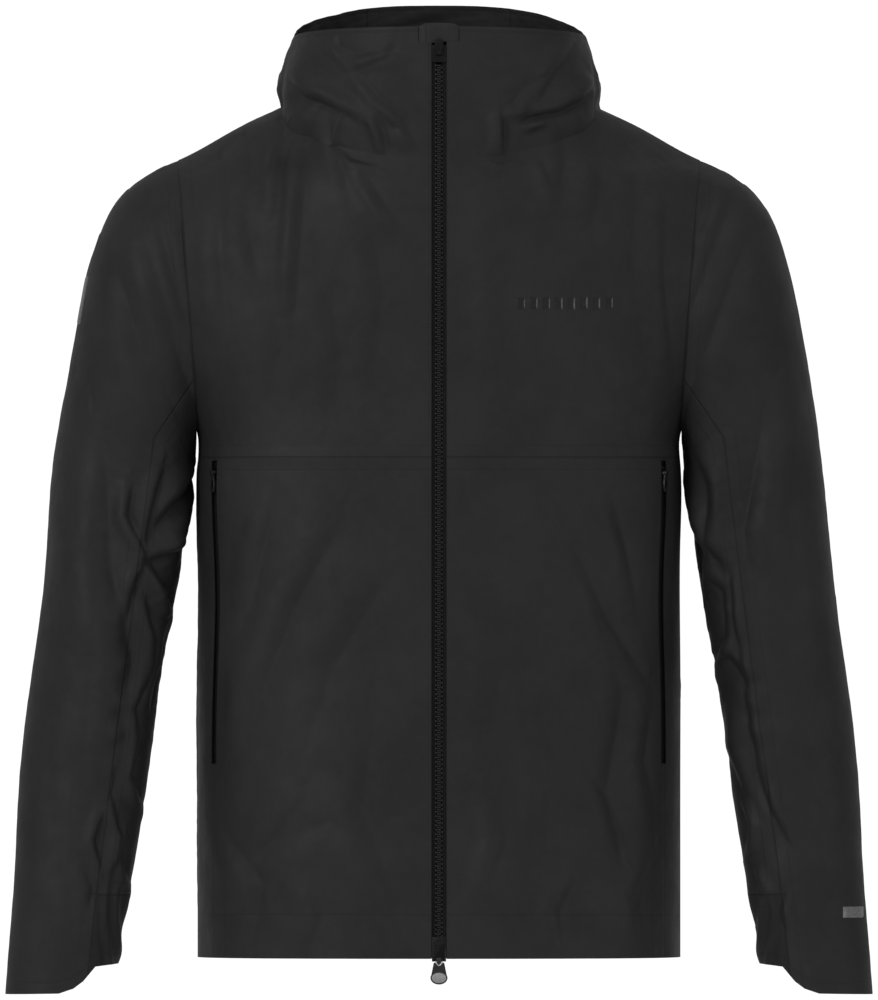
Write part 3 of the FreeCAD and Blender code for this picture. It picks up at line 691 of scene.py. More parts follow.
def moulded_material(name, level, roughness, metallic=0.0, tint=(1, 1, 1), rub=2.4, gloss=0.4):
    """Painted metal or moulded plastic: fine grain, smudges, and paint rubbed thin on edges."""
    n = Nodes(name)
    smudge = n.range(n.noise(220, 4, 0.65), 0.35, 0.7)
    pointy = n.add("ShaderNodeNewGeometry").outputs["Pointiness"]
    rubbed = n.math("MULTIPLY", n.range(pointy, 0.53, 0.62), n.range(n.noise(700, 3), 0.35, 0.6))
    light = n.mix(smudge, grey(0.85 * level, tint), grey(1.15 * level, tint))
    light = n.mix(n.math("MULTIPLY", rubbed, 0.7), light, grey(rub * level, tint))
    rough = n.range(n.noise(400, 4, 0.6), 0.3, 0.75, roughness - 0.06, roughness + 0.1)
    normal = n.bump(n.noise(1400, 3, 0.5), 0.00005, 0.6)
    return n.finish(light, rough, normal, Metallic=metallic, Specular_IOR_Level=gloss)


def reflective_material(name, level):
    """Silvery print of tiny glass beads on a grid."""
    n = Nodes(name)
    beads = n.add("ShaderNodeTexVoronoi", Vector=n.place, Scale=2600.0).outputs["Distance"]
    scuff = n.range(n.noise(500, 5, 0.7), 0.38, 0.62)
    light = n.mix(scuff, grey(0.7 * level), grey(1.15 * level, (1, 1, 1.02)))
    normal = n.bump(beads, 0.00005, 0.7)
    return n.finish(light, n.range(scuff, 0, 1, 0.48, 0.32), normal, Metallic=0.3, Specular_IOR_Level=0.6)


def stage_material():
    n = Nodes("floor_paper")
    light = n.mix(n.noise(5, 3), grey(0.86), grey(0.92))
    return n.finish(light, n.range(n.noise(40, 3), 0.3, 0.7, 0.8, 0.9), n.bump(n.noise(600, 3), 0.0001, 0.3))


# darkness of the shell's cloth, and how bright the room is as a light and as a backdrop
SHELL_LEVEL, ROOM_LIGHT, BACKDROP_LIGHT = 0.0145, 0.5, 1.05
shell = cloth_material("shell_fabric_look", SHELL_LEVEL, 0.6, 0.004)
lining = cloth_material("lining_look", 1.15 * SHELL_LEVEL, 0.75, 0.01, pitch=0.0008)
elastic = cloth_material("elastic_look", 0.8 * SHELL_LEVEL, 0.7, 0.01, pitch=0.0009)
tape_look = ribbed_material("zip_tape_look", 0.003, 0.0009)
pocket_look = ribbed_material("pocket_tape_look", 0.0012, 0.0008)
loop_look = ribbed_material("loop_look", 0.016, 0.0010)
label_look = ribbed_material("label_look", 0.05, 0.0007, slant=0)
teeth_look = moulded_material("zip_teeth_look", 0.003, 0.34, rub=5.0, gloss=0.22)
coil_look = moulded_material("coil_look", 0.003, 0.4)
metal_look = moulded_material("slider_look", 0.006, 0.3, metallic=0.75, rub=8.0)
# painted shade: a darker, dull, non-metal copy of the slider finish for the top slider and puller tucked
# under the garage
shaded_slider_look = moulded_material("painted_shade_slider_look", 0.0015, 0.6, rub=2.0, gloss=0.15)
puller_look = moulded_material("puller_look", 0.004, 0.42, rub=4.0)
glint_look = moulded_material("bar_look", 0.45, 0.28, metallic=0.9)
inlay_look = moulded_material("inlay_look", 0.2, 0.5, tint=(1, 1, 1.01), rub=1.3)
mark_look = moulded_material("chest_mark_look", 0.003, 0.2, rub=4.0)
reflective_look = reflective_material("reflective_look", 0.1)
patch_look = reflective_material("patch_look", 0.035)


# ---- the torso's panels ---------------------------------------------------------------------------
def even_heights(table, low, high, count):
    """Heights that space a table's rings evenly along its side."""
    fine = np.linspace(low, high, 2001)
    half_x = smooth_table([row[0] for row in table], [row[1:2] for row in table])(fine)[:, 0]
    run = np.concatenate([[0], np.cumsum(np.hypot(np.diff(half_x), np.diff(fine)))])
    return np.interp(np.linspace(0, run[-1], count), run, fine)


def displaced(points, folds, *rest):
    normals = grid_normals(points)
    return points + normals * folds(points, normals, *rest)[..., None], normals


def as_cloth(points):
    mesh = grid_mesh(points)
    cloth = bmesh.new()
    cloth.from_mesh(mesh)
    bpy.data.meshes.remove(mesh)
    return cloth


POCKET_AT = np.array([-184.0, -67.6, POCKET_LOW])
POCKET_ACROSS = np.array([0.496, -0.868, 0.0205])
POCKET_IN = np.array([0.8683, 0.4959, -0.0117])
POCKET_UP = np.array([0.0, 0.02355, 0.99972])
POCKET_RUN = 248.07


def pocket_place(x, y, z, side):
    """Across, in and up the pocket zip at a side (-1 for the right one)."""
    offset = np.stack([x * -side, y, z], axis=-1) - POCKET_AT
    return offset @ POCKET_ACROSS, offset @ POCKET_IN, offset @ POCKET_UP


def cut_pocket(cloth, side):
    flip = np.array([-side, 1, 1])
    there = near((-215, -125, 150), (-150, -30, 416), side)
    across, up = POCKET_ACROSS * flip, POCKET_UP * flip
    for shift in (-POCKET_HALF_SLOT, POCKET_HALF_SLOT):
        cut(cloth, (POCKET_AT + POCKET_ACROSS * shift) * flip, across, there)
    for height in (0, POCKET_RUN):
        cut(cloth, (POCKET_AT + POCKET_UP * height) * flip, up, there)


def neck_height(y):
    return np.interp(y, [p[0] for p in NECK_SEAM], [p[1] for p in NECK_SEAM])


def armhole_x(z):
    (x0, z0), (x1, z1) = ARMHOLE
    return x0 + (x1 - x0) * (z - z0) / (z1 - z0)


def torso_names(x, y, z):
    side = np.where(x < 0, "_right", "_left")
    low, front, wide = z < YOKE_SEAM, y < 0, np.abs(x) > SIDE_SEAM
    names = np.where(low & wide, np.char.add("side_panel", side), "back_panel")
    names = np.where(low & ~wide & front, np.char.add("lower_front", side), names)
    names = np.where(~low, np.where(y < SHOULDER_Y, np.char.add("front_yoke", side), "back_yoke"), names)
    gone = (np.abs(x) < ZIP_HALF_GAP) & front
    for hand in (-1, 1):
        across, inward, up = pocket_place(x, y, z, hand)
        gone |= (np.abs(across) < POCKET_HALF_SLOT) & (up > 0) & (up < POCKET_RUN) & (np.abs(inward) < 25)
    corner = np.interp(np.abs(x), [197, 260], [432, 420])
    gone |= (np.abs(x) > 196) & (z > corner) & (-np.abs(x) < armhole_x(z))
    gone |= z > neck_height(y)
    return np.where(gone, "", names)


TORSO_SEAMS = [
    level_seam(YOKE_SEAM),
    lambda x, y, z: (np.abs(np.abs(x) - SIDE_SEAM) + np.where(z > YOKE_SEAM, AWAY, 0.6), z),
    lambda x, y, z: (np.abs(y - SHOULDER_Y) + np.where(z < 500, AWAY, 0), x),
    path_seam(ARMHOLE), path_seam([(-x, z) for x, z in ARMHOLE]),
    lambda x, y, z: (np.abs(z - neck_height(y)) + np.where(y < NECK_SEAM[1][0], AWAY, 0), x),
]


def front_stitch(x, y, z):
    return np.abs(np.abs(x) - ZIP_HALF_GAP - 1.2) + np.where(y > 0, AWAY, 0), z


TORSO_STITCHES = [level_seam(HEM_DEPTH), front_stitch]


def torso_surface():
    heights = even_heights(TORSO, 0, 714, ROWS)
    return displaced(around_body(TORSO, heights, even_turns(COLUMNS, 2.3)), torso_folds)


def bow_beside_pockets(mesh):
    """Move the cloth beside a pocket zip with the zip's bow."""
    points = points_of(mesh)
    for hand in (-1, 1):
        across, inward, up = pocket_place(*points.T, hand)
        share = np.exp(-np.maximum(np.abs(across) - POCKET_HALF_SLOT, 0) / 14) * (np.abs(inward) < 30)
        shift = pocket_bow(up) * share * (points[:, 0] * hand > 100)
        points += shift[:, None] * POCKET_ACROSS * (-hand, 1, 1)
    mesh.vertices.foreach_set("co", in_frame(points).ravel())
    mesh.update()


def make_torso():
    points, normals = torso_surface()
    cloth = as_cloth(points)
    cut(cloth, (0, 0, YOKE_SEAM), (0, 0, 1), near((-999, -999, 400), (999, 999, 420)))
    cut(cloth, (0, SHOULDER_Y, 0), (0, 1, 0), near((-999, -20, 400), (999, 30, 999)))
    cut(cloth, (0, 0, 0), (0, 1, 0), near((-999, -10, -10), (999, 10, 415)))
    for side in (-1, 1):
        cut(cloth, (side * ZIP_HALF_GAP, 0, 0), (1, 0, 0), near((-12, -999, -10), (12, 0, 999)))
        cut(cloth, (side * SIDE_SEAM, 0, 0), (1, 0, 0), near((-195, -999, -10), (195, 999, 412)))
        there = near((-999, -999, 415), (-190, 999, 690), side)
        cut_front_line(cloth, *[(-side * x, z) for x, z in ARMHOLE], there)
        cut_front_line(cloth, (side * 260, 420), (side * 197, 432), there)
        cut_pocket(cloth, side)
    for (y0, z0), (y1, z1) in zip(NECK_SEAM, NECK_SEAM[1:]):
        cut_side_line(cloth, (y0, z0), (y1, z1), near((-200, y0 - 3, 600), (200, y1 + 3, 760)))
    for name, mesh in panels(cloth, torso_names).items():
        bow_beside_pockets(mesh)
        cloth_piece("cloth_" + name, mesh, shell, TORSO_SEAMS, TORSO_STITCHES, replaces=[name])
    return points, normals


def make_inner_layers(points, normals):
    """The hem's facing, the pocket bags and the label, which lie inside the torso."""
    facing_depth, facing_low, facing_side = 1.6, 1, 24
    label_low, label_high, label_half = 640, 676, 22
    cloth = as_cloth(points - facing_depth * normals)
    cut(cloth, (0, 0, HEM_DEPTH), (0, 0, 1), near(high=(999, 999, 60)))
    for x in (-facing_side, facing_side, -label_half, label_half):
        cut(cloth, (x, 0, 0), (1, 0, 0), near((x - 8, -999, -10), (x + 8, 999, 999)))
    cut(cloth, (0, 0, facing_low), (0, 0, 1))
    for z in (label_low, label_high):
        cut(cloth, (0, 0, z), (0, 0, 1), near((-60, -999, z - 9), (60, 999, z + 9)))

    def names(x, y, z):
        facing = (z > facing_low) & (z < HEM_DEPTH) & ((np.abs(x) > facing_side) | (y > 0))
        label = (np.abs(x) < label_half) & (y > 0) & (z > label_low) & (z < label_high)
        return np.where(facing, "hem_facing", np.where(label, "neck_label", ""))

    made = panels(cloth, names)
    cloth_piece("cloth_hem_facing", made["hem_facing"], lining, [], [level_seam(HEM_DEPTH - 3)],
                ["hem_facing"], slot="lining_fabric")
    cloth_piece("cloth_neck_label", made["neck_label"], label_look, [], [], ["neck_label"], THIN_CLOTH,
                "label")

    bag_depth, bag_low, bag_high, bag_side = 8.6, 141, 404, 183
    bag_edge = [(122, 300), (170, bag_high)]          # the bag's slanted front edge
    corners = [(bag_side, 100), (bag_side, bag_high), bag_edge[1], bag_edge[0], (122, bag_low),
               (bag_side, bag_low)]
    cloth = as_cloth(points - bag_depth * normals)
    for hand in (-1, 1):
        there = near((-200, -999, 120), (-100, 0, 425), hand)
        outline = [(hand * x, z) for x, z in corners]
        for start, end in zip(outline, outline[1:]):
            cut_front_line(cloth, start, end, there)

    def bag_names(x, y, z):
        wide = np.abs(x)
        inside = (wide < bag_side) & (z > bag_low) & (z < bag_high) & (y < 0)
        inside &= wide > np.interp(z, [z for _, z in bag_edge], [x for x, _ in bag_edge])
        return np.where(inside, np.where(x < 0, "pocket_bag_right", "pocket_bag_left"), "")

    for name, mesh in panels(cloth, bag_names).items():
        cloth_piece("cloth_" + name, mesh, lining, [], [], [name], THIN_CLOTH, "lining_fabric")


# ---- the sleeves ----------------------------------------------------------------------------------
def sleeve_names(hand):
    seam_x, seam_z = zip(*reversed(UNDERARM_SEAM))
    edge_x, edge_z = zip(*reversed(CUFF_EDGE))
    label = "_right" if hand < 0 else "_left"

    def names(x, y, z):
        x = x * -hand
        under = (x > np.interp(z, seam_z, seam_x)) & (z < UNDERARM_SEAM[0][1])
        names = np.where(under, np.where(z < ELASTIC_TOP, "cuff_elastic", "sleeve_under"), "sleeve_upper")
        limit = np.where(z < ARMHOLE[0][1], -199, armhole_x(z))
        gone = (x > limit) | (z < np.interp(x, edge_x, edge_z))
        return np.where(gone, "", np.char.add(names, label))
    return names


def armhole_gap(points):
    """Distance inside the right armhole's plane; it is negative on the sleeve's side."""
    lean = (ARMHOLE[1][0] - ARMHOLE[0][0]) / (ARMHOLE[1][1] - ARMHOLE[0][1])
    return (points[..., 0] - armhole_x(points[..., 2])) / math.hypot(1, lean)


def make_sleeve(hand, folds, torso):
    turns = even_turns(SLEEVE_COLUMNS, 2.2)
    points = sleeve_surface(SLEEVE_ROWS, turns[::-1])
    points, normals = displaced(points, sleeve_folds, folds)
    torso = torso if hand < 0 else torso * (-1, 1, 1)
    edge = crossings(torso, armhole_gap(torso))
    edge = edge[(edge[:, 0] < -150) & (edge[:, 2] > ARMHOLE[0][1]) & (edge[:, 2] < 668)]
    (x0, z0), (x1, z1) = ARMHOLE
    rise = np.array([x1 - x0, 0, z1 - z0]) / math.hypot(x1 - x0, z1 - z0)
    middle, axes = np.array([-205.5, 5, 543]), (np.array([0, 1.0, 0]), rise)
    points = drawn_to(points, armhole_gap(points), edge, middle, axes, reach=55, slack=0.09)
    if hand > 0:
        points, normals = points[:, ::-1] * (-1, 1, 1), normals[:, ::-1] * (-1, 1, 1)
    cloth = as_cloth(points)

    def line(start, end, margin):
        xs, zs = sorted((start[0], end[0])), sorted((start[1], end[1]))
        there = near((xs[0] - margin, -999, zs[0] - margin), (xs[1] + margin, 999, zs[1] + margin), hand)
        cut_front_line(cloth, (-hand * start[0], start[1]), (-hand * end[0], end[1]), there)

    for path in (UNDERARM_SEAM, CUFF_EDGE):
        for start, end in zip(path, path[1:]):
            line(start, end, 4)
    line(*ARMHOLE, 12)
    line((-199, 380), (-199, 432), 8)
    cut(cloth, (0, 0, ELASTIC_TOP), (0, 0, 1), near(high=(999, 999, 70)))
    underarm, cuff, armhole = [[(-hand * x, z) for x, z in path]
                               for path in (UNDERARM_SEAM, CUFF_EDGE, ARMHOLE)]

    def elastic_seam(x, y, z):
        return np.abs(z - ELASTIC_TOP) + np.where(x * -hand < -284, AWAY, 0), x

    seams = [path_seam(underarm, end_above=474), path_seam(armhole), elastic_seam]
    hem_stitch = path_seam([(x, z + 9) for x, z in cuff])
    for name, mesh in panels(cloth, sleeve_names(hand)).items():
        stretchy = name.startswith("cuff_elastic")
        material, slot = (elastic, "elastic_fabric") if stretchy else (shell, "shell_fabric")
        cloth_piece("cloth_" + name, mesh, material, seams, [hem_stitch], [name], slot=slot)


# ---- the collar and the hood ----------------------------------------------------------------------
def rim_height(y):
    return np.interp(y, [p[0] for p in RIM], [p[1] for p in RIM])


def inside_torso(x, y, z, depth):
    rings = rings_at(TORSO, z)
    half_x = np.maximum(rings[:, 0] - depth, 1)
    half_y = np.where(y < 0, zip_front(z), rings[:, 1]) - depth
    share = np.abs(x / half_x) ** rings[:, 2] + np.abs(y / half_y) ** rings[:, 2]
    return (share < 1) & (z < 714)


def cowl_names(x, y, z):
    side = np.where(x < 0, "_right", "_left")
    names = np.where(np.abs(x) > HOOD_SEAM, np.char.add("hood_side", side), "hood_centre")
    names = np.where((y > BRIM_FRONT) & (z > rim_height(y) - BRIM_DEPTH), "hood_brim", names)
    names = np.where(y < COLLAR_REAR, np.char.add("collar_front", side), names)
    names = np.where((y > COLLAR_REAR) & (y < 0) & (np.abs(x) < HOOD_SEAM), "", names)
    gone = (z > rim_height(y)) | ((y < NECK_SEAM[1][0]) & (z < neck_height(y)))
    gone |= inside_torso(x, y, z, 3.5) & (z < neck_height(y) + 2)
    gone |= (np.abs(x) < ZIP_HALF_GAP) & (y < 0)
    gone |= (np.abs(x) < GARAGE_HALF) & (y < 0) & (z > GARAGE_LOW)
    return np.where(gone, "", names)


COWL_SEAMS = [
    lambda x, y, z: (np.abs(np.abs(x) - HOOD_SEAM) + np.where(y < 0, AWAY, 0), z),
    lambda x, y, z: (np.abs(z - rim_height(y) + BRIM_DEPTH) + np.where(y < BRIM_FRONT, AWAY, 0), x),
]
COWL_STITCHES = [front_stitch, lambda x, y, z: (np.abs(z - rim_height(y) + 4), x + y)]


def neck_gap(points):
    """Distance above the plane of the neck seam's front part, and beyond reach elsewhere."""
    (y0, z0), (y1, z1) = NECK_SEAM[:2]
    above = points[..., 2] - z0 - (z1 - z0) * (points[..., 1] - y0) / (y1 - y0)
    return above * (y1 - y0) / math.hypot(y1 - y0, z1 - z0)


def make_cowl(torso):
    heights = even_heights(COWL, 590, 800, COWL_ROWS)
    points, _ = displaced(around_body(COWL, heights, even_turns(COWL_COLUMNS, 2.2)), cowl_folds)
    edge = crossings(torso, neck_gap(torso))
    (y0, z0), (y1, z1) = NECK_SEAM[:2]
    back = np.array([0, y1 - y0, z1 - z0]) / math.hypot(y1 - y0, z1 - z0)
    axes = np.array([1.0, 0, 0]), back
    sewn = drawn_to(points, neck_gap(points), edge, np.array([0, y1, z1]), axes, reach=46, slack=0.25)
    points += (sewn - points) * ease(-12, -30, points[..., 1])[..., None]
    cloth = as_cloth(points)
    for (y0, z0), (y1, z1) in zip(RIM, RIM[1:]):
        cut_side_line(cloth, (y0, z0), (y1, z1), near((-200, y0 - 3, 730), (200, y1 + 3, 830)))
    (y0, z0), (y1, z1) = RIM[1:]
    cut_side_line(cloth, (y0, z0 - BRIM_DEPTH), (y1, z1 - BRIM_DEPTH), near((-200, 30, 710), (200, 200, 800)))
    cut(cloth, (0, BRIM_FRONT, 0), (0, 1, 0), near((-200, 30, 700), (200, 50, 800)))
    cut_side_line(cloth, *NECK_SEAM[:2], near((-200, -150, 600), (200, -15, 720)))
    cut(cloth, (0, NECK_SEAM[1][0], 0), (0, 1, 0), near((-200, -30, 580), (200, -10, 700)))
    cut(cloth, (0, COLLAR_REAR, 0), (0, 1, 0), near((-200, -66, 600), (200, -44, 800)))
    cut(cloth, (0, 0, GARAGE_LOW), (0, 0, 1), near((-26, -200, 740), (26, 0, 760)))
    for side in (-1, 1):
        cut(cloth, (side * HOOD_SEAM, 0, 0), (1, 0, 0), near((-70, 0, 500), (70, 999, 999)))
        cut(cloth, (side * ZIP_HALF_GAP, 0, 0), (1, 0, 0), near((-12, -999, 500), (12, 0, 999)))
        cut(cloth, (side * GARAGE_HALF, 0, 0), (1, 0, 0), near((-24, -999, 730), (24, 0, 999)))
    for name, mesh in panels(cloth, cowl_names).items():
        cloth_piece("cloth_" + name, mesh, shell, COWL_SEAMS, COWL_STITCHES, [name])


def make_collar_stand():
    stand_low, stand_top, front = 706, 742, SHOULDER_Y + 2
    heights = np.linspace(stand_low, stand_top, 24)
    stand = as_cloth(around_body(NECK, heights, even_turns(400, 2.2)) * (0.995, 0.995, 1))
    cut(stand, (0, front, 0), (0, 1, 0))
    made = panels(stand, lambda x, y, z: np.where(y > front, "collar_stand", ""))
    cloth_piece("cloth_collar_stand", made["collar_stand"], lining, [], [level_seam(stand_top - 4)],
                ["collar_stand"], slot="lining_fabric")


# ---- boxes, sweeps and copies ---------------------------------------------------------------------
ZIP_TURN = math.atan(ZIP_LEAN)
ZIP_X = np.array([1.0, 0.0, 0.0])
ZIP_IN = np.array([0.0, math.cos(ZIP_TURN), -math.sin(ZIP_TURN)])
ZIP_UP = np.array([0.0, math.sin(ZIP_TURN), math.cos(ZIP_TURN)])


def on_main_zip(points):
    return np.array([0, -ZIP_AT_HEM, 0]) + points @ np.stack([ZIP_X, ZIP_IN, ZIP_UP])


def pocket_bow(up):
    """How far a pocket zip bows from its straight line, at a height along it."""
    share = np.clip(up / POCKET_RUN, 0, 1)
    wave = 1.3 * np.sin(2.6 * np.pi * share) * np.sin(np.pi * share)
    return 3.4 * np.sin(np.pi * share ** 0.85) ** 2 - wave


def on_pocket_zip(points, hand):
    points = points + pocket_bow(points[:, 2:]) * (1, 0, 0)
    placed = POCKET_AT + points @ np.stack([POCKET_ACROSS, POCKET_IN, POCKET_UP])
    return placed * np.array([-hand, 1, 1])


def rounded_box(low, high, bevel):
    """Corners and faces of a box with rounded edges."""
    low, high = np.array(low, float), np.array(high, float)
    form = bmesh.new()
    bmesh.ops.create_cube(form, size=1)
    for vert in form.verts:
        vert.co = Vector((low + high) / 2 + np.array(vert.co) * (high - low))
    bmesh.ops.bevel(form, geom=form.edges[:], offset=bevel, segments=2, affect="EDGES", profile=0.5)
    points = np.array([vert.co[:] for vert in form.verts])
    faces = [[vert.index for vert in face.verts] for face in form.faces]
    form.free()
    return points, faces


def joined(parts):
    """One set of points and faces from several."""
    points, faces, start = [], [], 0
    for some, its in parts:
        points.append(some)
        faces += [[k + start for k in face] for face in its]
        start += len(some)
    return np.concatenate(points), faces


def solid_piece(name, parts, material, place, slot, replaces, body="jacket", flip=False):
    points, faces = joined(parts)
    if flip:
        faces = [face[::-1] for face in faces]
    obj = piece(name, mesh_from(place(points), faces, name), material, body, replaces=replaces)
    return obj


def tooth(z):
    """One moulded tooth of the left tape: a shank, a wider head, and a foot over the tape's bead."""
    return [
        rounded_box((-0.5, 1.65, z + 0.15), (2.6, 3.95, z + 1.45), 0.3),
        rounded_box((-1.8, 1.5, z), (0.3, 4.1, z + 1.6), 0.45),
        rounded_box((1.9, 1.7, z - 0.35), (3.2, 3.9, z + 1.95), 0.4),
    ]


def strip(x0, x1, y0, y1, z0, z1, steps, sway=0.0):
    """A flat band with soft edges that sways a little in and out along its length."""
    z, soft = np.linspace(z0, z1, steps), 0.15
    wave = sway * (np.sin(z / 17 + 1) + 0.6 * np.sin(z / 7.3 + 2))
    corners = [(x0, y0 + soft), (x0 + soft, y0), (x1 - soft, y0), (x1, y0 + soft),
               (x1, y1 - soft), (x1 - soft, y1), (x0 + soft, y1), (x0, y1 - soft)]
    return tube(np.array([[(x, y + w, h) for x, y in corners] for h, w in zip(z, wave)]))


def as_placed(points):
    return points


def mirrored(parts):
    return [(points * (-1, 1, 1), [face[::-1] for face in faces]) for points, faces in parts]


def tube(rings):
    """Points and faces of a closed tube from its rings of points."""
    rows, count = rings.shape[:2]
    faces = []
    for start in range(0, (rows - 1) * count, count):
        for j in range(count):
            after = (j + 1) % count
            faces.append([start + j, start + after, start + count + after, start + count + j])
    faces += [list(range(count))[::-1], [(rows - 1) * count + j for j in range(count)]]
    return rings.reshape(-1, 3), faces


def make_main_zip():
    """Teeth, tapes and end pins of both sides, drawn for the left, and the flap behind them."""
    teeth_low, teeth_high, pitch = 9.5, 736.0, 3.7
    count = int((teeth_high - teeth_low - 2.4) / pitch)
    for side, lag in (("left", 0), ("right", 0.5)):
        teeth = [part for i in range(count) for part in tooth(teeth_low + 0.8 + (i + lag) * pitch)]
        band = [strip(3.3, 16, 2.4, 3.2, 0.5, TAPE_TOP, 300), strip(2.7, 3.6, 2.2, 3.4, 9, TAPE_TOP, 200)]
        pin = [rounded_box((0.4, 1.7, 2.4), (3.3, 3.9, 9.5), 0.4)]
        for kind, parts, look, slot in (("teeth", teeth, teeth_look, "zip_teeth"),
                                        ("tape", band, tape_look, "zip_tape"),
                                        ("pin", pin, teeth_look, "zip_teeth")):
            parts = mirrored(parts) if side == "right" else parts
            solid_piece(f"{kind}_{side}", parts, look, on_main_zip, slot, [f"zip_{kind}_{side}"])
    flap = [strip(-15, 15, 6.4, 7.6, 2, TAPE_TOP, 260, 0.12)]
    solid_piece("flap", flap, lining, on_main_zip, "lining_fabric", ["storm_flap"])


def bevelled_copy(node, material, body, slot, bevel):
    """A copy of a rigid CAD piece with its edges rounded."""
    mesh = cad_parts[node].data.copy()
    form = bmesh.new()
    form.from_mesh(mesh)
    bmesh.ops.remove_doubles(form, verts=form.verts, dist=1e-6)
    bmesh.ops.dissolve_limit(form, angle_limit=math.radians(2), verts=form.verts, edges=form.edges)
    form.to_mesh(mesh)
    form.free()
    mesh.materials.clear()
    obj = piece("form_" + node, mesh, material, body, [node])
    rounding = obj.modifiers.new("rounding", "BEVEL")
    rounding.width, rounding.segments, rounding.limit_method = bevel / MM, 2, "ANGLE"
    rounding.angle_limit = math.radians(35)
    rounding.harden_normals = True


def make_sliders():
    for kind, look, slot, bevel in (("slider", metal_look, "slider_metal", 0.22),
                                    ("puller", puller_look, "puller", 0.25)):
        for node, body in ((f"top_{kind}", f"main_top_{kind}"), (f"bottom_{kind}", f"main_bottom_{kind}"),
                           (f"pocket_{kind}_right", f"right_pocket_{kind}"),
                           (f"pocket_{kind}_left", f"left_pocket_{kind}")):
            # the top slider and puller take the darker copy of the finish, painted shade under the garage
            bevelled_copy(node, shaded_slider_look if node.startswith("top") else look, body, slot, bevel)
    bevelled_copy("puller_inlay", inlay_look, "main_bottom_puller", "puller_inlay", 0.12)


def make_puller_bar():
    """The bent metal bar that shows as a V on the bottom puller."""
    radius, depth = (0.55, 0.45), -2.7
    corners = [(-3.0, -2.4), (-1.6, -4.3), (-0.5, -5.3), (0.5, -5.3), (1.6, -4.3), (3.0, -2.4)]
    path = smooth_table(np.arange(6), corners)(np.linspace(0, 5, 40))
    along = np.gradient(path, axis=0)
    along /= np.linalg.norm(along, axis=1, keepdims=True)
    turn = np.linspace(0, 2 * np.pi, 14, endpoint=False)
    ring = np.empty((len(path), len(turn), 3))
    ring[..., 0] = path[:, :1] - along[:, 1:] * radius[0] * np.cos(turn)
    ring[..., 1] = depth + radius[1] * np.sin(turn)
    ring[..., 2] = path[:, 1:] + along[:, :1] * radius[0] * np.cos(turn)
    solid_piece("puller_bar", [tube(ring)], glint_look, on_main_zip, "slider_metal", [], "main_bottom_puller",
                flip=True)


def make_garage():
    """The soft garage that wraps the zip's top end, padded and turned over the collar's edge."""
    low, high, half, back = GARAGE_LOW, 765.5, GARAGE_HALF + 1.4, 4.0
    across = np.linspace(-half, half, 61)
    profile = [
        (3.5, low - 1.4), (3.4, low - 0.2), (2.0, low + 0.05), (0.9, low), (0.15, low + 0.15),
        (-0.05, low + 0.9), (-0.1, low + 3), (-0.2, low + 8), (-0.2, low + 12), (0.2, low + 14.2),
        (1.0, high - 0.5), (2.0, high), (3.0, high - 0.2), (back - 0.3, high - 1.2), (back, high - 3),
        (back, low + 8), (back, low - 1.2)]
    fine = smooth_table(np.arange(len(profile)), profile)(np.linspace(0, len(profile) - 1, 100))
    points = np.empty((len(across), len(fine), 3))
    points[..., 0] = across[:, None]
    points[..., 1:] = fine[None]
    near_end = np.exp(-((half - np.abs(across)) / 5.0) ** 2)[:, None]
    points[..., 1] += near_end * np.maximum(2.2 - fine[:, 0], 0) * 0.9
    points[..., 2] -= near_end * np.maximum(fine[:, 1] - (low + 8), 0) * 0.35
    points[..., 2] += np.sin(across / 5.2)[:, None] * np.maximum(low + 4 - fine[:, 1], 0) * 0.16
    puff = np.exp(-((across - 9.5) / 1.2) ** 2) + np.exp(-((across + 9.5) / 1.2) ** 2)
    points[..., 1] += 0.35 * puff[:, None] * (fine[:, 0] < 1)
    obj = solid_piece("garage", [tube(points)], shell, on_main_zip, "shell_fabric", ["zip_garage"])
    for key in ("seam", "run", "stitch"):
        layer = obj.data.attributes.new(key, "FLOAT", "POINT")
        layer.data.foreach_set("value", [200.0] * len(obj.data.vertices))


def make_pocket_zips():
    turn_pitch, past_end = 1.5, 4
    for side, hand in (("right", -1), ("left", 1)):
        def place(points, hand=hand):
            return on_pocket_zip(points, hand)

        bands = [strip(low, low + 7.6, 3.2, 4.0, -past_end, POCKET_RUN + past_end, 130)
                 for low in (0.9, -8.5)]
        bands += [rounded_box((-1.0, 3.2, z), (1.0, 4.0, z + 3), 0.1) for z in (-past_end, POCKET_RUN + 1)]
        turns = [rounded_box((-0.85, 2.7, -0.8 + turn_pitch * i), (0.85, 4.5, 0.35 + turn_pitch * i), 0.35)
                 for i in range(int((POCKET_RUN - 7.5) / turn_pitch))]
        solid_piece("pocket_band_" + side, bands, pocket_look, place, "zip_tape", ["pocket_tape_" + side],
                    flip=hand < 0)
        solid_piece("coil_" + side, turns, coil_look, place, "zip_teeth", ["pocket_coil_" + side],
                    flip=hand < 0)


# ---- trims ----------------------------------------------------------------------------------------
def make_hang_loop():
    """A twisted three-strand loop at the back of the neck."""
    low, end, thickness = HANG_LOOP, np.array([26.0, 73.0, 712.0]), 1.25
    start = end * (-1, 1, 1)
    share = np.linspace(0, 1, 90)[:, None]
    middle = 2 * low - (start + end) / 2
    line = (1 - share) ** 2 * start + 2 * share * (1 - share) * middle + share ** 2 * end
    along = np.gradient(line, axis=0)
    along /= np.linalg.norm(along, axis=1, keepdims=True)
    across = np.cross(along, [0, 1, 0])
    across /= np.linalg.norm(across, axis=1, keepdims=True)
    up = np.cross(across, along)
    turn = np.linspace(0, 2 * np.pi, 24, endpoint=False)[:, None]
    radius = thickness + 0.3 * np.cos(3 * turn.T + 34 * share)
    round_about = np.cos(turn) * across[:, None] + np.sin(turn) * up[:, None]
    ring = line[:, None] + radius[..., None] * round_about
    solid_piece("loop", [tube(ring)], loop_look, as_placed, "loop_tape", ["hang_loop"], flip=True)


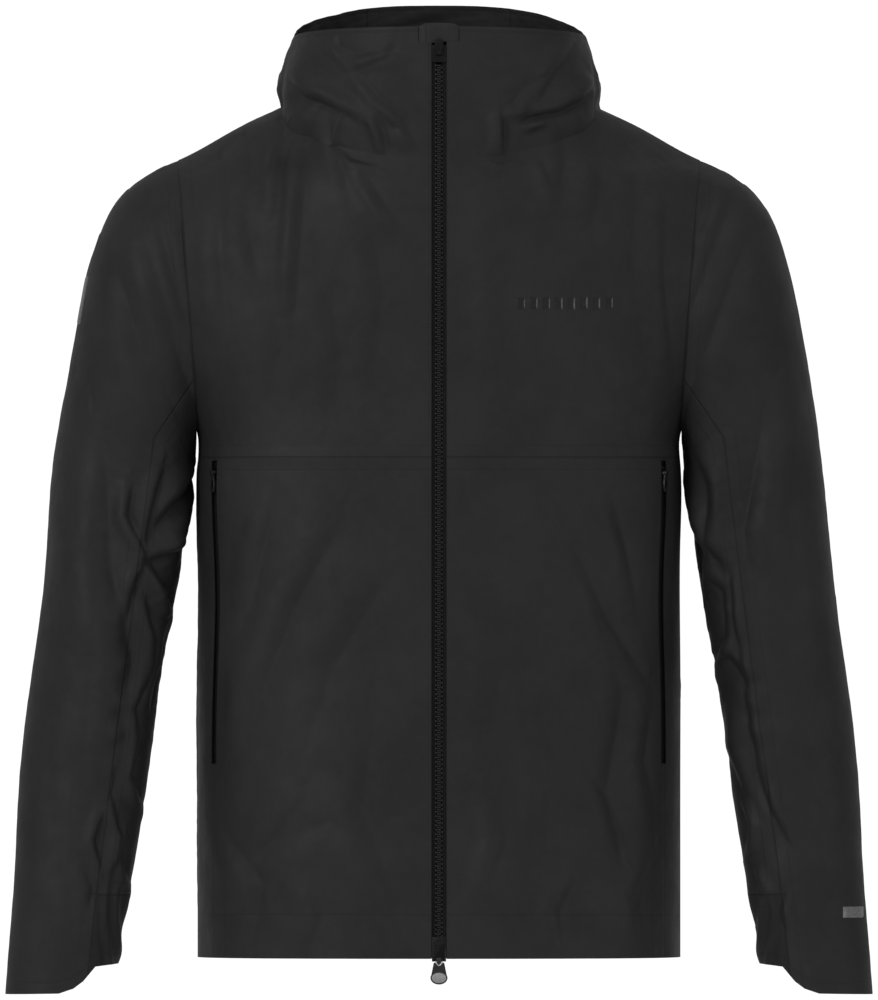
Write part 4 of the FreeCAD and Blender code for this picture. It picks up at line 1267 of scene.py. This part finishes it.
def surface_hits(names):
    """A ray caster against some cloth panels, in tailor's coordinates."""
    points, faces = joined([
        (np.array([v.co[:] for v in bpy.data.objects[name].data.vertices]),
         [list(p.vertices) for p in bpy.data.objects[name].data.polygons]) for name in names])
    tree = BVHTree.FromPolygons(points.tolist(), faces)

    def hit(origin, direction):
        found = tree.ray_cast(Vector(in_frame(origin)), Vector(direction))
        if found[0] is None:
            found = tree.find_nearest(Vector(in_frame([origin[0], -60, origin[2]])))
        return np.array(found[0][:]) * MM + HANG_LOOP, np.array(found[1][:])
    return hit


def print_on(hit, origin_of, direction, outline, rows, columns, lift=0.35):
    """A thin raised print: a grid in a rectangle, cast onto the cloth."""
    points = []
    for v in np.linspace(0, 1, rows):
        for u in np.linspace(0, 1, columns):
            place, normal = hit(origin_of(*outline(u, v)), direction)
            normal = normal if normal @ np.array(direction) < 0 else -normal
            edge = min(u, 1 - u, v, 1 - v) == 0
            points.append(place + normal * (0.02 if edge else lift))
    corners = [i * columns + j for i in range(rows - 1) for j in range(columns - 1)]
    return np.array(points), [[k, k + 1, k + columns + 1, k + columns] for k in corners]


def make_prints():
    def from_front(x, z):
        return x, -300, z

    def from_right(y, z):
        return -500, y, z

    ahead, to_left = (0, 1, 0), (1, 0, 0)
    hit = surface_hits(["cloth_front_yoke_left"])
    low, depth, start, stop, count = 530.5, 10.0, 64.0, 146.0, 8
    pitch = (stop - start) / count
    dashes = []
    for i in range(count):
        outline = lambda u, v, x=start + i * pitch: (x + 0.6 * pitch * u, low + depth * v)
        dashes.append(print_on(hit, from_front, ahead, outline, 8, 8, 0.3))
    solid_piece("dashes", dashes, mark_look, as_placed, "reflective_print", ["chest_mark"])

    hit = surface_hits(["cloth_sleeve_upper_right"])
    patch = [print_on(hit, from_right, to_left, lambda u, v: (-22 + 48 * u, 519 + 39 * v), 24, 28)]
    solid_piece("patch", patch, patch_look, as_placed, "reflective_print", ["reflective_patch"], flip=True)

    hit = surface_hits(["cloth_sleeve_upper_left"])
    tab = [print_on(hit, from_front, ahead, lambda u, v: (330.5 + 17 * u, 33 + 9 * v), 10, 16)]
    solid_piece("tab", tab, reflective_look, as_placed, "reflective_print", ["cuff_tab"])


# ---- stage, lights and camera ---------------------------------------------------------------------
def aimed(obj, place, target):
    obj.location = place
    obj.rotation_mode = "QUATERNION"
    obj.rotation_quaternion = (Vector(target) - Vector(place)).to_track_quat("-Z", "Y")
    bpy.context.scene.collection.objects.link(obj)


def make_camera():
    data = bpy.data.cameras.new("camera")
    sensor, distance, seen, middle_height = 36.0, 30.0, 0.82, 374.7
    data.sensor_fit, data.sensor_width, data.sensor_height = "AUTO", sensor, sensor
    data.lens = sensor * distance / seen
    data.clip_end = 100
    middle = Vector((0.0, -0.08, (middle_height - HANG_LOOP[2]) / MM))
    camera = bpy.data.objects.new("camera", data)
    aimed(camera, middle - Vector((0, distance, 0)), middle)
    bpy.context.scene.camera = camera


def make_lights():
    """Soft lamps around the jacket, in a white room that lights it less than it shows behind it."""
    target = (0, 0, -0.3)
    for name, place, size, power in (
            ("key", (-2.6, -3.2, 1.2), 1.5, 84), ("fill", (3.2, -3.0, 0.2), 2.4, 34),
            ("top", (0.4, -1.6, 2.6), 1.6, 18), ("rim", (-1.6, 3.6, 0.6), 2.0, 90),
            ("back", (2.0, 3.4, 0.2), 2.4, 40)):
        data = bpy.data.lights.new(name, "AREA")
        data.shape, data.size, data.energy = "DISK", size, power
        lamp = bpy.data.objects.new(name, data)
        lamp.visible_glossy = place[1] < 0
        aimed(lamp, place, target)
    world = bpy.data.worlds.new("studio")
    world.use_nodes = True
    tree = world.node_tree
    backdrop = tree.nodes["Background"]
    seen = tree.nodes.new("ShaderNodeLightPath").outputs["Is Camera Ray"]
    strength = tree.nodes.new("ShaderNodeMapRange")
    strength.inputs["To Min"].default_value = ROOM_LIGHT
    strength.inputs["To Max"].default_value = BACKDROP_LIGHT
    tree.links.new(seen, strength.inputs["Value"])
    tree.links.new(strength.outputs[0], backdrop.inputs["Strength"])
    backdrop.inputs["Color"].default_value = (1, 1, 1, 1)
    bpy.context.scene.world = world


def make_floor():
    radius, below_jacket = 1.8, 0.35
    form = bmesh.new()
    bmesh.ops.create_circle(form, cap_ends=True, radius=radius, segments=96)
    mesh = bpy.data.meshes.new("floor")
    form.to_mesh(mesh)
    form.free()
    floor = bpy.data.objects.new("floor", mesh)
    floor.location = (0, 0, CAD_BOX[0].z - below_jacket)
    mesh.materials.append(stage_material())
    bpy.context.scene.collection.objects.link(floor)


bpy.context.scene.view_settings.view_transform = "Standard"
make_camera()
make_lights()
make_floor()
torso_points, torso_normals = make_torso()
make_inner_layers(torso_points, torso_normals)
make_sleeve(-1, SLEEVE_FOLDS, torso_points)
make_sleeve(1, mirrored_paths(LEFT_SLEEVE_FOLDS), torso_points)
make_cowl(torso_points)
make_collar_stand()
make_main_zip()
make_pocket_zips()
make_sliders()
make_garage()
make_puller_bar()
make_hang_loop()
make_prints()
